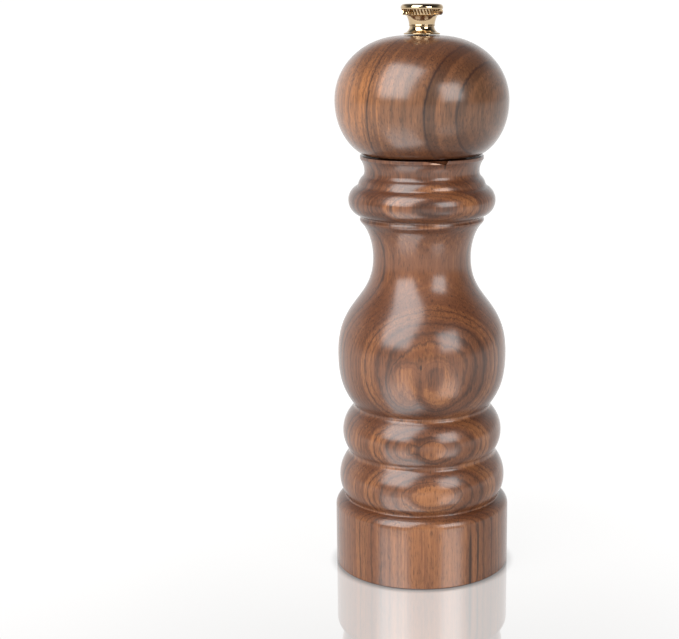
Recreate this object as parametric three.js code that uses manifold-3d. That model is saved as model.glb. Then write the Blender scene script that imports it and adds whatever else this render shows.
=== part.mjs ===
// A turned walnut pepper mill with a steel grinding mechanism and a brass adjusting nut.
// Millimetres, +Z up, origin at the centre of the base. Every piece is a solid of its own.
import * as THREE from "three";
import { mergeVertices } from "three/addons/utils/BufferGeometryUtils.js";
import Module from "manifold-3d";

// --- Driving dimensions -------------------------------------------------------------------

const GAP = 0.3; // clearance between pieces that touch on the real mill
const ROUND = 40; // sides of the large turned pieces
const SMALL_ROUND = 24; // sides of the small turned pieces
const SCREW_ROUND = 12; // sides of a screw

// The turned body, from the base up: radius and height of each crease and each widest place.
const BASE = { r: 28.1, shoulderZ: 19.5, shoulderBulge: 1.2 };
const GROOVE_1 = { r: 24.6, z: 23.0 };
const GROOVE_2 = { r: 23.2, z: 38.0 };
const GROOVE_3 = { r: 21.5, z: 53.0 };
const BEAD_1_BULGE = 2.8;
const BEAD_2_BULGE = 3.2;
const BULB = { r: 26.9, z: 70.5 };
const NECK = { r: 15.5, z: 101.2 };
const FLARE = { r: 18.3, z: 111.5 };
const FILLET = { r: 19.7, z: 113.2 };
const COLLAR_LOW = { r: 19.0, z: 114.6 };
const COLLAR_HIGH = { r: 20.1, z: 124.1 };
const COLLAR_BULGE = 3.6;
const COVE_LOW = { r: 18.2, z: 127.3 };
const COVE_SHOULDER_BULGE = 0.4;
const COVE_BULGE = -0.6;
const LIP = { r: 19.4, z: 133.4 };

// The bores of the body, from below and from above.
const RECESS = { r: 22.5, z: 7.0 };
const GRINDER_BORE = { r: 16.6, z: 19.2 };
const CHAMBER = { r: 12.0, taperZ: 32.0, z: 118.5 };
const CHAMBER_FOOT_R = 13.0;
const MOUTH_R = 14.0;
const MOUTH_CHAMFER = 0.6;

// The turned head.
const HEAD = { seamR: 18.5, seamZ: 133.9, r: 27.1, z: 150.5, topR: 6.0, topZ: 170.2 };
const HEAD_BORE_R = 4.2;
const SPIGOT = { r: 13.6, z: 122.2 };

// The brass nut.
const NUT_FOOT = { r: 5.65, z: 170.2 + GAP, lip: 0.45 };
const NUT_WAIST = { r: 3.85, lowZ: 172.6, highZ: 174.1 };
const NUT_NECK = { r: 4.7, z: 176.0 };
const NUT_CAP = { r: 6.6, rimZ: 177.9, edgeR: 5.5, topZ: 180.0, underR: 5.6, underZ: 176.3 };
const NUT_THREAD = { r: 2.8, topZ: 177.9 };

// The square spindle, with a round journal below and a round threaded end above.
const SPINDLE = { side: 5.0, lowZ: 2.4, squareLowZ: 8.6, squareHighZ: 168.4, highZ: 177.2 };
const JOURNAL_R = 2.3;
const THREAD_R = 2.45;
const SQUARE_HOLE = SPINDLE.side + 2 * GAP;

// The grinder. Rotor and stator are both wider at the bottom, so raising the rotor grinds finer.
const STATOR = { r: 16.3, lowZ: 7.0, highZ: 17.0, boreLowR: 13.8, boreHighR: 11.8, depth: 0.9, teeth: 24 };
const ROTOR = { lowZ: 8.7, highZ: 17.6, lowR: 13.0, highR: 9.9, fineDepth: 0.8, feedDepth: 3.0, teeth: 12 };
const ROTOR_TWIST = THREE.MathUtils.degToRad(28);
const CLIP = { r: 5.0, innerR: 2.6, lowZ: 7.2, thickness: 1.1, slot: 3.6 };
const SEAT = { r: 6.2, innerR: 3.9, lowZ: 17.9, thickness: 0.8 };
const SPRING = { r: 4.9, wireR: 0.45, lowZ: 19.2, highZ: 25.7, turns: 4 };
const BUSH = { r: 4.9, flangeR: 6.2, flangeLowZ: 26.3, flangeHighZ: 27.3, highZ: 32.0 };
const BRIDGE = { r: 16.3, innerR: 11.8, lowZ: 17.3, ringHighZ: 18.9 };
const BRIDGE_HUB = { r: 7.0, lowZ: 27.6, highZ: 30.4 };
const BRIDGE_ARMS = {
  count: 3, firstAngle: 30, width: 4.0, thickness: 1.6, footR: 12.4, headR: 6.2, kneeDrop: 0.4,
};

// The pieces under the grinder.
const RING = { r: 22.2, innerR: 14.6, lowZ: 5.2, thickness: 1.5 };
const CROSSBAR = { length: 43.0, width: 8.0, lowZ: 3.4, thickness: 1.5, holeR: 2.7 };
const BASE_SCREW = { headR: 2.4, headHeight: 1.5, shankR: 1.2, highZ: 16.0, radius: 19.0 };
const SCREW_HOLE_R = BASE_SCREW.shankR + GAP;
const RING_SCREW_ANGLES = [90, 210, 330];
const CROSSBAR_SCREW_ANGLES = [0, 180];

// The drive plate under the head's spigot.
const PLATE = { r: 12.8, thickness: 1.2 };
const PLATE_LOW_Z = SPIGOT.z - GAP - PLATE.thickness;
const PLATE_SCREW = { headR: 2.1, headHeight: 1.3, shankR: 1.1, highZ: 131.0, radius: 9.2 };
const PLATE_SCREW_ANGLES = [90, 210, 330];

// --- Materials ----------------------------------------------------------------------------

const walnut = () => new THREE.MeshStandardMaterial({ color: 0x8a5a3c, roughness: 0.35, metalness: 0 });
const brass = () => new THREE.MeshStandardMaterial({ color: 0xc9a458, roughness: 0.12, metalness: 1 });
const steel = () => new THREE.MeshStandardMaterial({ color: 0xb9bcbf, roughness: 0.3, metalness: 1 });
const hardSteel = () => new THREE.MeshStandardMaterial({ color: 0x8d9093, roughness: 0.45, metalness: 1 });
const nylon = () => new THREE.MeshStandardMaterial({ color: 0xe8e4d8, roughness: 0.5, metalness: 0 });

// --- Shape helpers ------------------------------------------------------------------------

const wasm = await Module();
wasm.setup();

// Points of an arc from a to b. Its middle stands bulge away from the chord, to the right of
// the way from a to b, which is outwards on an outline that goes up.
function arc(a, b, bulge, steps) {
  const chord = b.clone().sub(a);
  const length = chord.length();
  const radius = (length ** 2 / 4 + bulge ** 2) / (2 * Math.abs(bulge));
  const side = new THREE.Vector2(chord.y, -chord.x).divideScalar(length);
  const centre = a.clone().add(b).divideScalar(2);
  centre.addScaledVector(side, -Math.sign(bulge) * (radius - Math.abs(bulge)));
  const start = a.clone().sub(centre);
  const turn = 2 * Math.asin(length / 2 / radius) * Math.sign(bulge);
  return Array.from({ length: steps + 1 }, (_, i) =>
    start.clone().rotateAround(new THREE.Vector2(), (turn * i) / steps).add(centre),
  );
}

// Points of a smooth curve from a to b that leaves a towards the first pull and meets b from the second.
function sweep(a, pullA, pullB, b, steps) {
  return new THREE.CubicBezierCurve(a, pullA, pullB, b).getPoints(steps);
}

const at = (place) => new THREE.Vector2(place.r, place.z);
const point = (r, z) => new THREE.Vector2(r, z);

// Turns an outline of points (radius, height) about Z. The outline goes up on the outside.
function turned(outline, sides) {
  const kept = outline.filter((p, i) => i === 0 || p.distanceTo(outline[i - 1]) > 1e-3);
  return new THREE.LatheGeometry(kept, sides).rotateX(Math.PI / 2);
}

// A plain ring about Z, or a disc where innerR is 0.
function ring(outerR, innerR, lowZ, highZ, sides) {
  const outline = [point(innerR, lowZ), point(outerR, lowZ), point(outerR, highZ), point(innerR, highZ)];
  if (innerR > 0) outline.push(point(innerR, lowZ));
  return turned(outline, sides);
}

// A box on Z, centred in plan, from lowZ to highZ.
function bar(sizeX, sizeY, lowZ, highZ) {
  return new THREE.BoxGeometry(sizeX, sizeY, highZ - lowZ).translate(0, 0, (lowZ + highZ) / 2);
}

// A solid whose outer and inner walls are given as radius(angle, height).
function walled(outerAt, innerAt, heights, sides) {
  const positions = [];
  const index = [];
  for (const z of heights) {
    for (const radiusAt of [outerAt, innerAt]) {
      for (let i = 0; i < sides; i += 1) {
        const angle = (2 * Math.PI * i) / sides;
        const r = radiusAt(angle, z);
        positions.push(r * Math.cos(angle), r * Math.sin(angle), z);
      }
    }
  }
  const outer = (level, i) => level * 2 * sides + (i % sides);
  const inner = (level, i) => outer(level, i) + sides;
  const quad = (a, b, c, d) => index.push(a, b, c, a, c, d);
  const top = heights.length - 1;
  for (let i = 0; i < sides; i += 1) {
    for (let level = 0; level < top; level += 1) {
      quad(outer(level, i), outer(level, i + 1), outer(level + 1, i + 1), outer(level + 1, i));
      quad(inner(level, i + 1), inner(level, i), inner(level + 1, i), inner(level + 1, i + 1));
    }
    quad(inner(0, i), inner(0, i + 1), outer(0, i + 1), outer(0, i));
    quad(outer(top, i), outer(top, i + 1), inner(top, i + 1), inner(top, i));
  }
  const geometry = new THREE.BufferGeometry();
  geometry.setAttribute("position", new THREE.Float32BufferAttribute(positions, 3));
  geometry.setIndex(index);
  return geometry;
}

// A three.js geometry as a manifold-3d solid.
function solid(geometry) {
  const bare = geometry.clone();
  bare.deleteAttribute("normal");
  bare.deleteAttribute("uv");
  const merged = mergeVertices(bare, 1e-4);
  const vertProperties = merged.attributes.position.array;
  const triVerts = new Uint32Array(merged.index.array);
  return new wasm.Manifold(new wasm.Mesh({ numProp: 3, vertProperties, triVerts }));
}

// A manifold-3d solid as a three.js geometry.
function geometryOf(made) {
  const mesh = made.getMesh();
  const geometry = new THREE.BufferGeometry();
  geometry.setAttribute("position", new THREE.BufferAttribute(mesh.vertProperties, mesh.numProp));
  geometry.setIndex(new THREE.BufferAttribute(mesh.triVerts, 1));
  geometry.computeVertexNormals();
  return geometry;
}

// The first geometry with the others cut out of it.
function cut(geometry, ...tools) {
  return geometryOf(tools.reduce((left, tool) => left.subtract(solid(tool)), solid(geometry)));
}

// All the geometries joined into one solid.
function joined(geometry, ...others) {
  return geometryOf(others.reduce((sum, other) => sum.add(solid(other)), solid(geometry)));
}

// Copies of a geometry that stands on +X, turned to each of the angles in degrees.
function turnedTo(angles, geometry) {
  return angles.map((angle) => geometry.clone().rotateZ(THREE.MathUtils.degToRad(angle)));
}

function piece(name, geometry, material) {
  const mesh = new THREE.Mesh(geometry, material);
  mesh.name = name;
  return mesh;
}

// --- Wood ---------------------------------------------------------------------------------

// The outside of the body from the foot to the lip.
function bodyOutline() {
  const bulbPull = point(GROOVE_3.r + (BULB.r - GROOVE_3.r) * 0.55, GROOVE_3.z + 4.4);
  return [
    point(BASE.r, 0),
    ...arc(point(BASE.r, BASE.shoulderZ), at(GROOVE_1), BASE.shoulderBulge, 4),
    ...arc(at(GROOVE_1), at(GROOVE_2), BEAD_1_BULGE, 7),
    ...arc(at(GROOVE_2), at(GROOVE_3), BEAD_2_BULGE, 7),
    ...sweep(at(GROOVE_3), bulbPull, point(BULB.r, BULB.z - 10), at(BULB), 6),
    ...sweep(at(BULB), point(BULB.r, BULB.z + 17), point(NECK.r, NECK.z - 14), at(NECK), 10),
    ...sweep(at(NECK), point(NECK.r, NECK.z + 5), point(FLARE.r - 1.2, FLARE.z - 1.6), at(FLARE), 4),
    at(FILLET),
    ...arc(at(COLLAR_LOW), at(COLLAR_HIGH), COLLAR_BULGE, 7),
    ...arc(at(COLLAR_HIGH), at(COVE_LOW), COVE_SHOULDER_BULGE, 2),
    ...arc(at(COVE_LOW), at(LIP), COVE_BULGE, 3),
  ];
}

function body() {
  const inside = [
    point(MOUTH_R + MOUTH_CHAMFER, LIP.z),
    point(MOUTH_R, LIP.z - MOUTH_CHAMFER),
    point(MOUTH_R, CHAMBER.z),
    point(CHAMBER.r, CHAMBER.z),
    point(CHAMBER.r, CHAMBER.taperZ),
    point(CHAMBER_FOOT_R, GRINDER_BORE.z),
    point(GRINDER_BORE.r, GRINDER_BORE.z),
    point(GRINDER_BORE.r, RECESS.z),
    point(RECESS.r, RECESS.z),
    point(RECESS.r, 0),
    point(BASE.r, 0),
  ];
  const pilot = ring(SCREW_HOLE_R, 0, RECESS.z - 1, BASE_SCREW.highZ + GAP, SCREW_ROUND);
  pilot.translate(BASE_SCREW.radius, 0, 0);
  const pilots = turnedTo([...RING_SCREW_ANGLES, ...CROSSBAR_SCREW_ANGLES], pilot);
  return piece("body", cut(turned([...bodyOutline(), ...inside], ROUND), ...pilots), walnut());
}

function head() {
  const seam = point(HEAD.seamR, HEAD.seamZ);
  const widest = point(HEAD.r, HEAD.z);
  const crown = point(HEAD.topR, HEAD.topZ);
  const outline = [
    point(HEAD_BORE_R, SPIGOT.z),
    point(SPIGOT.r, SPIGOT.z),
    point(SPIGOT.r, HEAD.seamZ),
    ...sweep(seam, point(HEAD.seamR + 4, HEAD.seamZ + 2), point(HEAD.r, HEAD.z - 9), widest, 7),
    ...sweep(widest, point(HEAD.r, HEAD.z + 10), point(HEAD.topR + 13, HEAD.topZ - 0.5), crown, 10),
    point(HEAD_BORE_R, HEAD.topZ),
    point(HEAD_BORE_R, SPIGOT.z),
  ];
  const pilot = ring(PLATE_SCREW.shankR + GAP, 0, SPIGOT.z - 1, PLATE_SCREW.highZ + GAP, SCREW_ROUND);
  pilot.translate(PLATE_SCREW.radius, 0, 0);
  return piece("head", cut(turned(outline, ROUND), ...turnedTo(PLATE_SCREW_ANGLES, pilot)), walnut());
}

// --- Brass --------------------------------------------------------------------------------

function adjustingNut() {
  const outline = [
    point(NUT_THREAD.r, NUT_FOOT.z),
    point(NUT_FOOT.r, NUT_FOOT.z),
    point(NUT_FOOT.r, NUT_FOOT.z + NUT_FOOT.lip),
    ...arc(point(NUT_FOOT.r - 0.4, NUT_FOOT.z + NUT_FOOT.lip), point(NUT_WAIST.r, NUT_WAIST.lowZ), -0.3, 3),
    point(NUT_WAIST.r, NUT_WAIST.highZ),
    point(NUT_NECK.r, NUT_NECK.z),
    ...arc(point(NUT_CAP.underR, NUT_CAP.underZ), point(NUT_CAP.r, NUT_CAP.rimZ), 0.2, 2),
    ...arc(point(NUT_CAP.r, NUT_CAP.rimZ), point(NUT_CAP.edgeR, NUT_CAP.topZ), 0.45, 3),
    point(0, NUT_CAP.topZ),
    point(0, NUT_THREAD.topZ),
    point(NUT_THREAD.r, NUT_THREAD.topZ),
    point(NUT_THREAD.r, NUT_FOOT.z),
  ];
  return piece("adjusting_nut", turned(outline, SMALL_ROUND), brass());
}

// --- Spindle and grinder ------------------------------------------------------------------

function spindle() {
  const journal = ring(JOURNAL_R, 0, SPINDLE.lowZ, SPINDLE.squareLowZ + 1, SMALL_ROUND);
  const square = bar(SPINDLE.side, SPINDLE.side, SPINDLE.squareLowZ, SPINDLE.squareHighZ);
  const thread = ring(THREAD_R, 0, SPINDLE.squareHighZ - 1, SPINDLE.highZ, SMALL_ROUND);
  return piece("spindle", joined(square, journal, thread), steel());
}

// Radius of the square hole at an angle.
function squareAt(angle) {
  return SQUARE_HOLE / 2 / Math.max(Math.abs(Math.cos(angle)), Math.abs(Math.sin(angle)));
}

// How deep a saw tooth is cut at an angle, from 0 at its edge to 1 at its root.
const toothAt = (angle, teeth) => 1 - THREE.MathUtils.euclideanModulo((angle * teeth) / (2 * Math.PI), 1);

function stator() {
  const { lowZ, highZ, boreLowR, boreHighR, depth, teeth } = STATOR;
  const bore = (angle, z) => {
    const up = (z - lowZ) / (highZ - lowZ);
    return THREE.MathUtils.lerp(boreLowR, boreHighR, up) + depth * toothAt(angle, teeth);
  };
  return piece("stator", walled(() => STATOR.r, bore, [lowZ, highZ], 3 * teeth), hardSteel());
}

function rotor() {
  const { lowZ, highZ, lowR, highR, fineDepth, feedDepth, teeth } = ROTOR;
  const outer = (angle, z) => {
    const up = (z - lowZ) / (highZ - lowZ);
    const edge = THREE.MathUtils.lerp(lowR, highR, up);
    const depth = THREE.MathUtils.lerp(fineDepth, feedDepth, up ** 2);
    return edge - depth * toothAt(angle - ROTOR_TWIST * up, teeth);
  };
  const heights = [0, 0.25, 0.5, 0.75, 1].map((up) => THREE.MathUtils.lerp(lowZ, highZ, up));
  return piece("rotor", walled(outer, squareAt, heights, 6 * teeth), hardSteel());
}

function rotorClip() {
  const highZ = CLIP.lowZ + CLIP.thickness;
  const washer = ring(CLIP.r, CLIP.innerR, CLIP.lowZ, highZ, SMALL_ROUND);
  const slot = bar(2 * CLIP.r, CLIP.slot, CLIP.lowZ - 1, highZ + 1).translate(CLIP.r, 0, 0);
  return piece("rotor_clip", cut(washer, slot), steel());
}

function springSeat() {
  const washer = ring(SEAT.r, SEAT.innerR, SEAT.lowZ, SEAT.lowZ + SEAT.thickness, SMALL_ROUND);
  return piece("spring_seat", washer, steel());
}

// The middle line of the spring's wire.
class Helix extends THREE.Curve {
  getPoint(t, target = new THREE.Vector3()) {
    const angle = 2 * Math.PI * SPRING.turns * t;
    const z = THREE.MathUtils.lerp(SPRING.lowZ + SPRING.wireR, SPRING.highZ - SPRING.wireR, t);
    return target.set(SPRING.r * Math.cos(angle), SPRING.r * Math.sin(angle), z);
  }
}

function spring() {
  const section = new THREE.Shape().absarc(0, 0, SPRING.wireR, 0, 2 * Math.PI);
  const steps = 12 * SPRING.turns;
  const wire = new THREE.ExtrudeGeometry(section, { steps, extrudePath: new Helix(), curveSegments: 6 });
  return piece("spring", wire, steel());
}

function spindleBush() {
  const sleeve = ring(BUSH.r, 0, BUSH.flangeLowZ, BUSH.highZ, SMALL_ROUND);
  const flange = ring(BUSH.flangeR, 0, BUSH.flangeLowZ, BUSH.flangeHighZ, SMALL_ROUND);
  const hole = bar(SQUARE_HOLE, SQUARE_HOLE, BUSH.flangeLowZ - 1, BUSH.highZ + 1);
  return piece("spindle_bush", cut(joined(sleeve, flange), hole), nylon());
}

// One arm of the bridge, on +X, which rises from the ring to a knee and runs in to the hub.
function bridgeArm() {
  const { width, thickness, footR, headR, kneeDrop } = BRIDGE_ARMS;
  const kneeZ = BRIDGE_HUB.highZ - kneeDrop;
  const side = new THREE.Shape([
    point(footR, BRIDGE.lowZ),
    point(footR, BRIDGE.ringHighZ),
    point(headR + 3, kneeZ),
    point(headR, BRIDGE_HUB.highZ),
    point(headR, BRIDGE_HUB.highZ - thickness),
    point(headR + 2, kneeZ - thickness),
    point(footR - thickness, BRIDGE.lowZ),
  ]);
  const arm = new THREE.ExtrudeGeometry(side, { depth: width, bevelEnabled: false });
  return arm.translate(0, 0, -width / 2).rotateX(Math.PI / 2);
}

function bridge() {
  const rim = ring(BRIDGE.r, BRIDGE.innerR, BRIDGE.lowZ, BRIDGE.ringHighZ, ROUND);
  const hub = ring(BRIDGE_HUB.r, 0, BRIDGE_HUB.lowZ, BRIDGE_HUB.highZ, SMALL_ROUND);
  const { count, firstAngle } = BRIDGE_ARMS;
  const angles = Array.from({ length: count }, (_, i) => firstAngle + (360 / count) * i);
  const hole = ring(BUSH.r + GAP, 0, BRIDGE.lowZ - 1, BRIDGE_HUB.highZ + 1, SMALL_ROUND);
  return piece("bridge", cut(joined(rim, hub, ...turnedTo(angles, bridgeArm())), hole), steel());
}

// --- Pieces under the grinder -------------------------------------------------------------

// Screw holes through the plates under the grinder, at the angles given in degrees.
function baseScrewHoles(angles) {
  const hole = ring(SCREW_HOLE_R, 0, 0, RECESS.z, SCREW_ROUND).translate(BASE_SCREW.radius, 0, 0);
  return turnedTo(angles, hole);
}

function retainingRing() {
  const disc = ring(RING.r, RING.innerR, RING.lowZ, RING.lowZ + RING.thickness, ROUND);
  const holes = baseScrewHoles([...RING_SCREW_ANGLES, ...CROSSBAR_SCREW_ANGLES]);
  return piece("retaining_ring", cut(disc, ...holes), steel());
}

function crossbar() {
  const strap = bar(CROSSBAR.length, CROSSBAR.width, CROSSBAR.lowZ, CROSSBAR.lowZ + CROSSBAR.thickness);
  const ends = ring(CROSSBAR.length / 2, 0, CROSSBAR.lowZ - 1, CROSSBAR.lowZ + CROSSBAR.thickness + 1, ROUND);
  const bearing = ring(CROSSBAR.holeR, 0, 0, RECESS.z, SMALL_ROUND);
  const rounded = geometryOf(solid(strap).intersect(solid(ends)));
  return piece("crossbar", cut(rounded, bearing, ...baseScrewHoles(CROSSBAR_SCREW_ANGLES)), steel());
}

// A pan-head screw that points up, its head's upper face at headTopZ, with a straight slot.
function screwAt(name, size, headTopZ, angle) {
  const headLowZ = headTopZ - size.headHeight;
  const shank = size.shankR;
  const outline = [
    point(0, headLowZ),
    point(size.headR - 0.5, headLowZ),
    point(size.headR, headLowZ + 0.6),
    point(size.headR, headTopZ),
    point(shank, headTopZ),
    point(shank, size.highZ - 2 * shank),
    point(0, size.highZ),
  ];
  const slot = bar(0.7, 2 * size.headR + 1, headLowZ - 1, headLowZ + 0.7);
  const screw = piece(name, cut(turned(outline, SCREW_ROUND), slot), steel());
  const turn = THREE.MathUtils.degToRad(angle);
  screw.position.set(size.radius * Math.cos(turn), size.radius * Math.sin(turn), 0);
  return screw;
}

// A numbered row of screws, one at each angle.
function screws(name, size, headTopZ, angles) {
  return angles.map((angle, i) => screwAt(`${name}_${i + 1}`, size, headTopZ, angle));
}

// --- Drive plate --------------------------------------------------------------------------

function drivePlate() {
  const highZ = PLATE_LOW_Z + PLATE.thickness;
  const disc = ring(PLATE.r, 0, PLATE_LOW_Z, highZ, ROUND);
  const hole = bar(SQUARE_HOLE, SQUARE_HOLE, PLATE_LOW_Z - 1, highZ + 1);
  const screwHole = ring(PLATE_SCREW.shankR + GAP, 0, PLATE_LOW_Z - 1, highZ + 1, SCREW_ROUND);
  screwHole.translate(PLATE_SCREW.radius, 0, 0);
  return piece("drive_plate", cut(disc, hole, ...turnedTo(PLATE_SCREW_ANGLES, screwHole)), steel());
}

// --- Assembly -----------------------------------------------------------------------------

function group(...children) {
  return new THREE.Group().add(...children);
}

// What stays still in the hand: the body and the fixed half of the grinder.
const still = group(
  body(),
  stator(),
  bridge(),
  retainingRing(),
  crossbar(),
  ...screws("ring_screw", BASE_SCREW, RING.lowZ - GAP, RING_SCREW_ANGLES),
  ...screws("crossbar_screw", BASE_SCREW, CROSSBAR.lowZ - GAP, CROSSBAR_SCREW_ANGLES),
);

// What the spindle carries.
const grinding = group(spindle(), rotor(), rotorClip(), springSeat());

// What turns in the hand.
const turning = group(
  head(),
  drivePlate(),
  ...screws("drive_plate_screw", PLATE_SCREW, PLATE_LOW_Z - GAP, PLATE_SCREW_ANGLES),
);

export default group(still, grinding, group(spindleBush(), spring()), turning, group(adjustingNut()));
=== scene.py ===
"""Visual model of a turned walnut pepper mill with a steel grinder and a brass adjusting nut.

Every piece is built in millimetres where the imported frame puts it, and made in metres.
"""

import logging
import math
from collections.abc import Callable, Iterable, Sequence
from dataclasses import dataclass, field
from enum import Enum
from functools import partial

import bmesh
import bpy
from mathutils import Matrix, Vector


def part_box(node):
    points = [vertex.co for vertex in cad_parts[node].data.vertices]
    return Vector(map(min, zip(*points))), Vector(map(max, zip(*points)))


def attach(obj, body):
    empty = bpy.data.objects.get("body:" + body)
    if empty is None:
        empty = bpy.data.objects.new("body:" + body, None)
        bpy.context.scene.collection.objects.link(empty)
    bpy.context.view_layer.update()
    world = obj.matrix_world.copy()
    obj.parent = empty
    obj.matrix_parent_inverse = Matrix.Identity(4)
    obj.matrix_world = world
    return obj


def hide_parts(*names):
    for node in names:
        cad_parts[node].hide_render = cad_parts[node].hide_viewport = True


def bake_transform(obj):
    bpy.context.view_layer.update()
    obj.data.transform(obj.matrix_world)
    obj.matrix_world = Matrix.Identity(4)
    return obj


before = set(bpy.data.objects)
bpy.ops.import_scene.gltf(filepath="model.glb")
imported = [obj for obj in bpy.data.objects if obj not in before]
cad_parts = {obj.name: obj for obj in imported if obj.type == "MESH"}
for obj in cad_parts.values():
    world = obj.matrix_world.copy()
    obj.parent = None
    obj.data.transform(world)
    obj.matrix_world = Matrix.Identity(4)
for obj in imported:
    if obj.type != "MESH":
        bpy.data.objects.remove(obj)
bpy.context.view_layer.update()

log = logging.getLogger("pepper_mill")

MM = 0.001
SMOOTH_BELOW = math.radians(32)
BEVEL_ABOVE = math.radians(40)
SAME_POINT = 1e-4  # mm under which two points are one
CURVE_STEP = 0.8  # mm between the points of a curved outline
CURVE_TURN = math.radians(5)  # and the most that it turns between them
TURNED_SIDES = 192
SMALL_SIDES = 96
CUT_REACH = 2.0  # mm that a cutter reaches above and below a plate's middle
TOP_Z = 180.0  # mm, the scale of the figure's heights
EVEN_GROWTH = 0.75  # growth of wood without figure
ROOM_GLOW = 1.05  # strength of the room where it is brightest

MATH = "ShaderNodeMath"
VECTORS = "ShaderNodeVectorMath"
RANGE = "ShaderNodeMapRange"
MAPPING = "ShaderNodeMapping"
MIX = "ShaderNodeMix"
NOISE = "ShaderNodeTexNoise"
COORDS = "ShaderNodeTexCoord"
SHADER = "ShaderNodeBsdfPrincipled"
OUTPUT = "ShaderNodeOutputMaterial"

Piece = bpy.types.Object
Material = bpy.types.Material
Socket = bpy.types.NodeSocket
Outputs = bpy.types.bpy_prop_collection
Adder = Callable[..., Outputs]
RadiusAt = Callable[[float, float], float]
Pair = tuple[float, float]
Triple = tuple[float, float, float]


class Body(Enum):
    """The moving bodies of the frame."""

    STILL = "body"
    BUSH = "bush"
    SPINDLE = "spindle"
    HEAD = "head"
    NUT = "nut"


class Slot(Enum):
    """The material slots of the record."""

    WALNUT = "walnut"
    BRASS = "polished_brass"
    STAINLESS = "stainless_steel"
    GRINDER = "grinder_steel"
    SPRING = "spring_steel"
    SCREW = "screw_steel"
    NYLON = "nylon"


# --- Small tools -----------------------------------------------------------------------------


def linear(colour: str) -> tuple[float, float, float, float]:
    """Turns an sRGB colour to linear light.

    Args:
        colour: Six hex digits.

    Returns:
        Red, green, blue and an alpha of 1.
    """
    parts = [int(colour[i : i + 2], 16) / 255 for i in (0, 2, 4)]
    red, green, blue = [p / 12.92 if p <= 0.04045 else ((p + 0.055) / 1.055) ** 2.4 for p in parts]
    return red, green, blue, 1.0


def add_node(tree: bpy.types.NodeTree, kind: str, inputs: dict | None = None, **settings) -> Outputs:
    """Adds a node with its settings, values and links.

    Args:
        tree: The tree that gets the node.
        kind: The node's type name.
        inputs: By socket name or number, a value or the output socket to link.
        **settings: Properties of the node.

    Returns:
        The new node's output sockets.
    """
    node = tree.nodes.new(kind)
    for name, value in settings.items():
        setattr(node, name, value)
    for key, value in (inputs or {}).items():
        if isinstance(value, Socket):
            tree.links.new(value, node.inputs[key])
        else:
            node.inputs[key].default_value = value
    return node.outputs


def box_mm(node: str) -> tuple[Vector, Vector]:
    """Gives the lowest and highest corner of a CAD node in millimetres."""
    low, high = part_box(node)
    return low / MM, high / MM


def levels_mm(node: str) -> Pair:
    """Gives the lowest and highest level of a CAD node in millimetres."""
    low, high = box_mm(node)
    return low.z, high.z


def between(ends: Pair, part: float) -> float:
    """Gives the value at a part of the way from the first end to the second."""
    return ends[0] + (ends[1] - ends[0]) * part


def fraction(value: float) -> float:
    """Gives the part of a number after its whole number."""
    return value - math.floor(value)


def rounded_corner(start: Vector, corner: Vector, end: Vector, steps: int) -> list[Vector]:
    """Gives the points of a curve that leaves and arrives along the sides of a corner.

    Args:
        start: Its first point.
        corner: The corner that it rounds.
        end: Its last point.
        steps: Number of steps between its points.

    Returns:
        The points with both ends.
    """
    parts = [i / steps for i in range(steps + 1)]
    return [start * (1 - t) ** 2 + corner * (2 * t * (1 - t)) + end * t**2 for t in parts]


# --- Outlines --------------------------------------------------------------------------------


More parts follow.
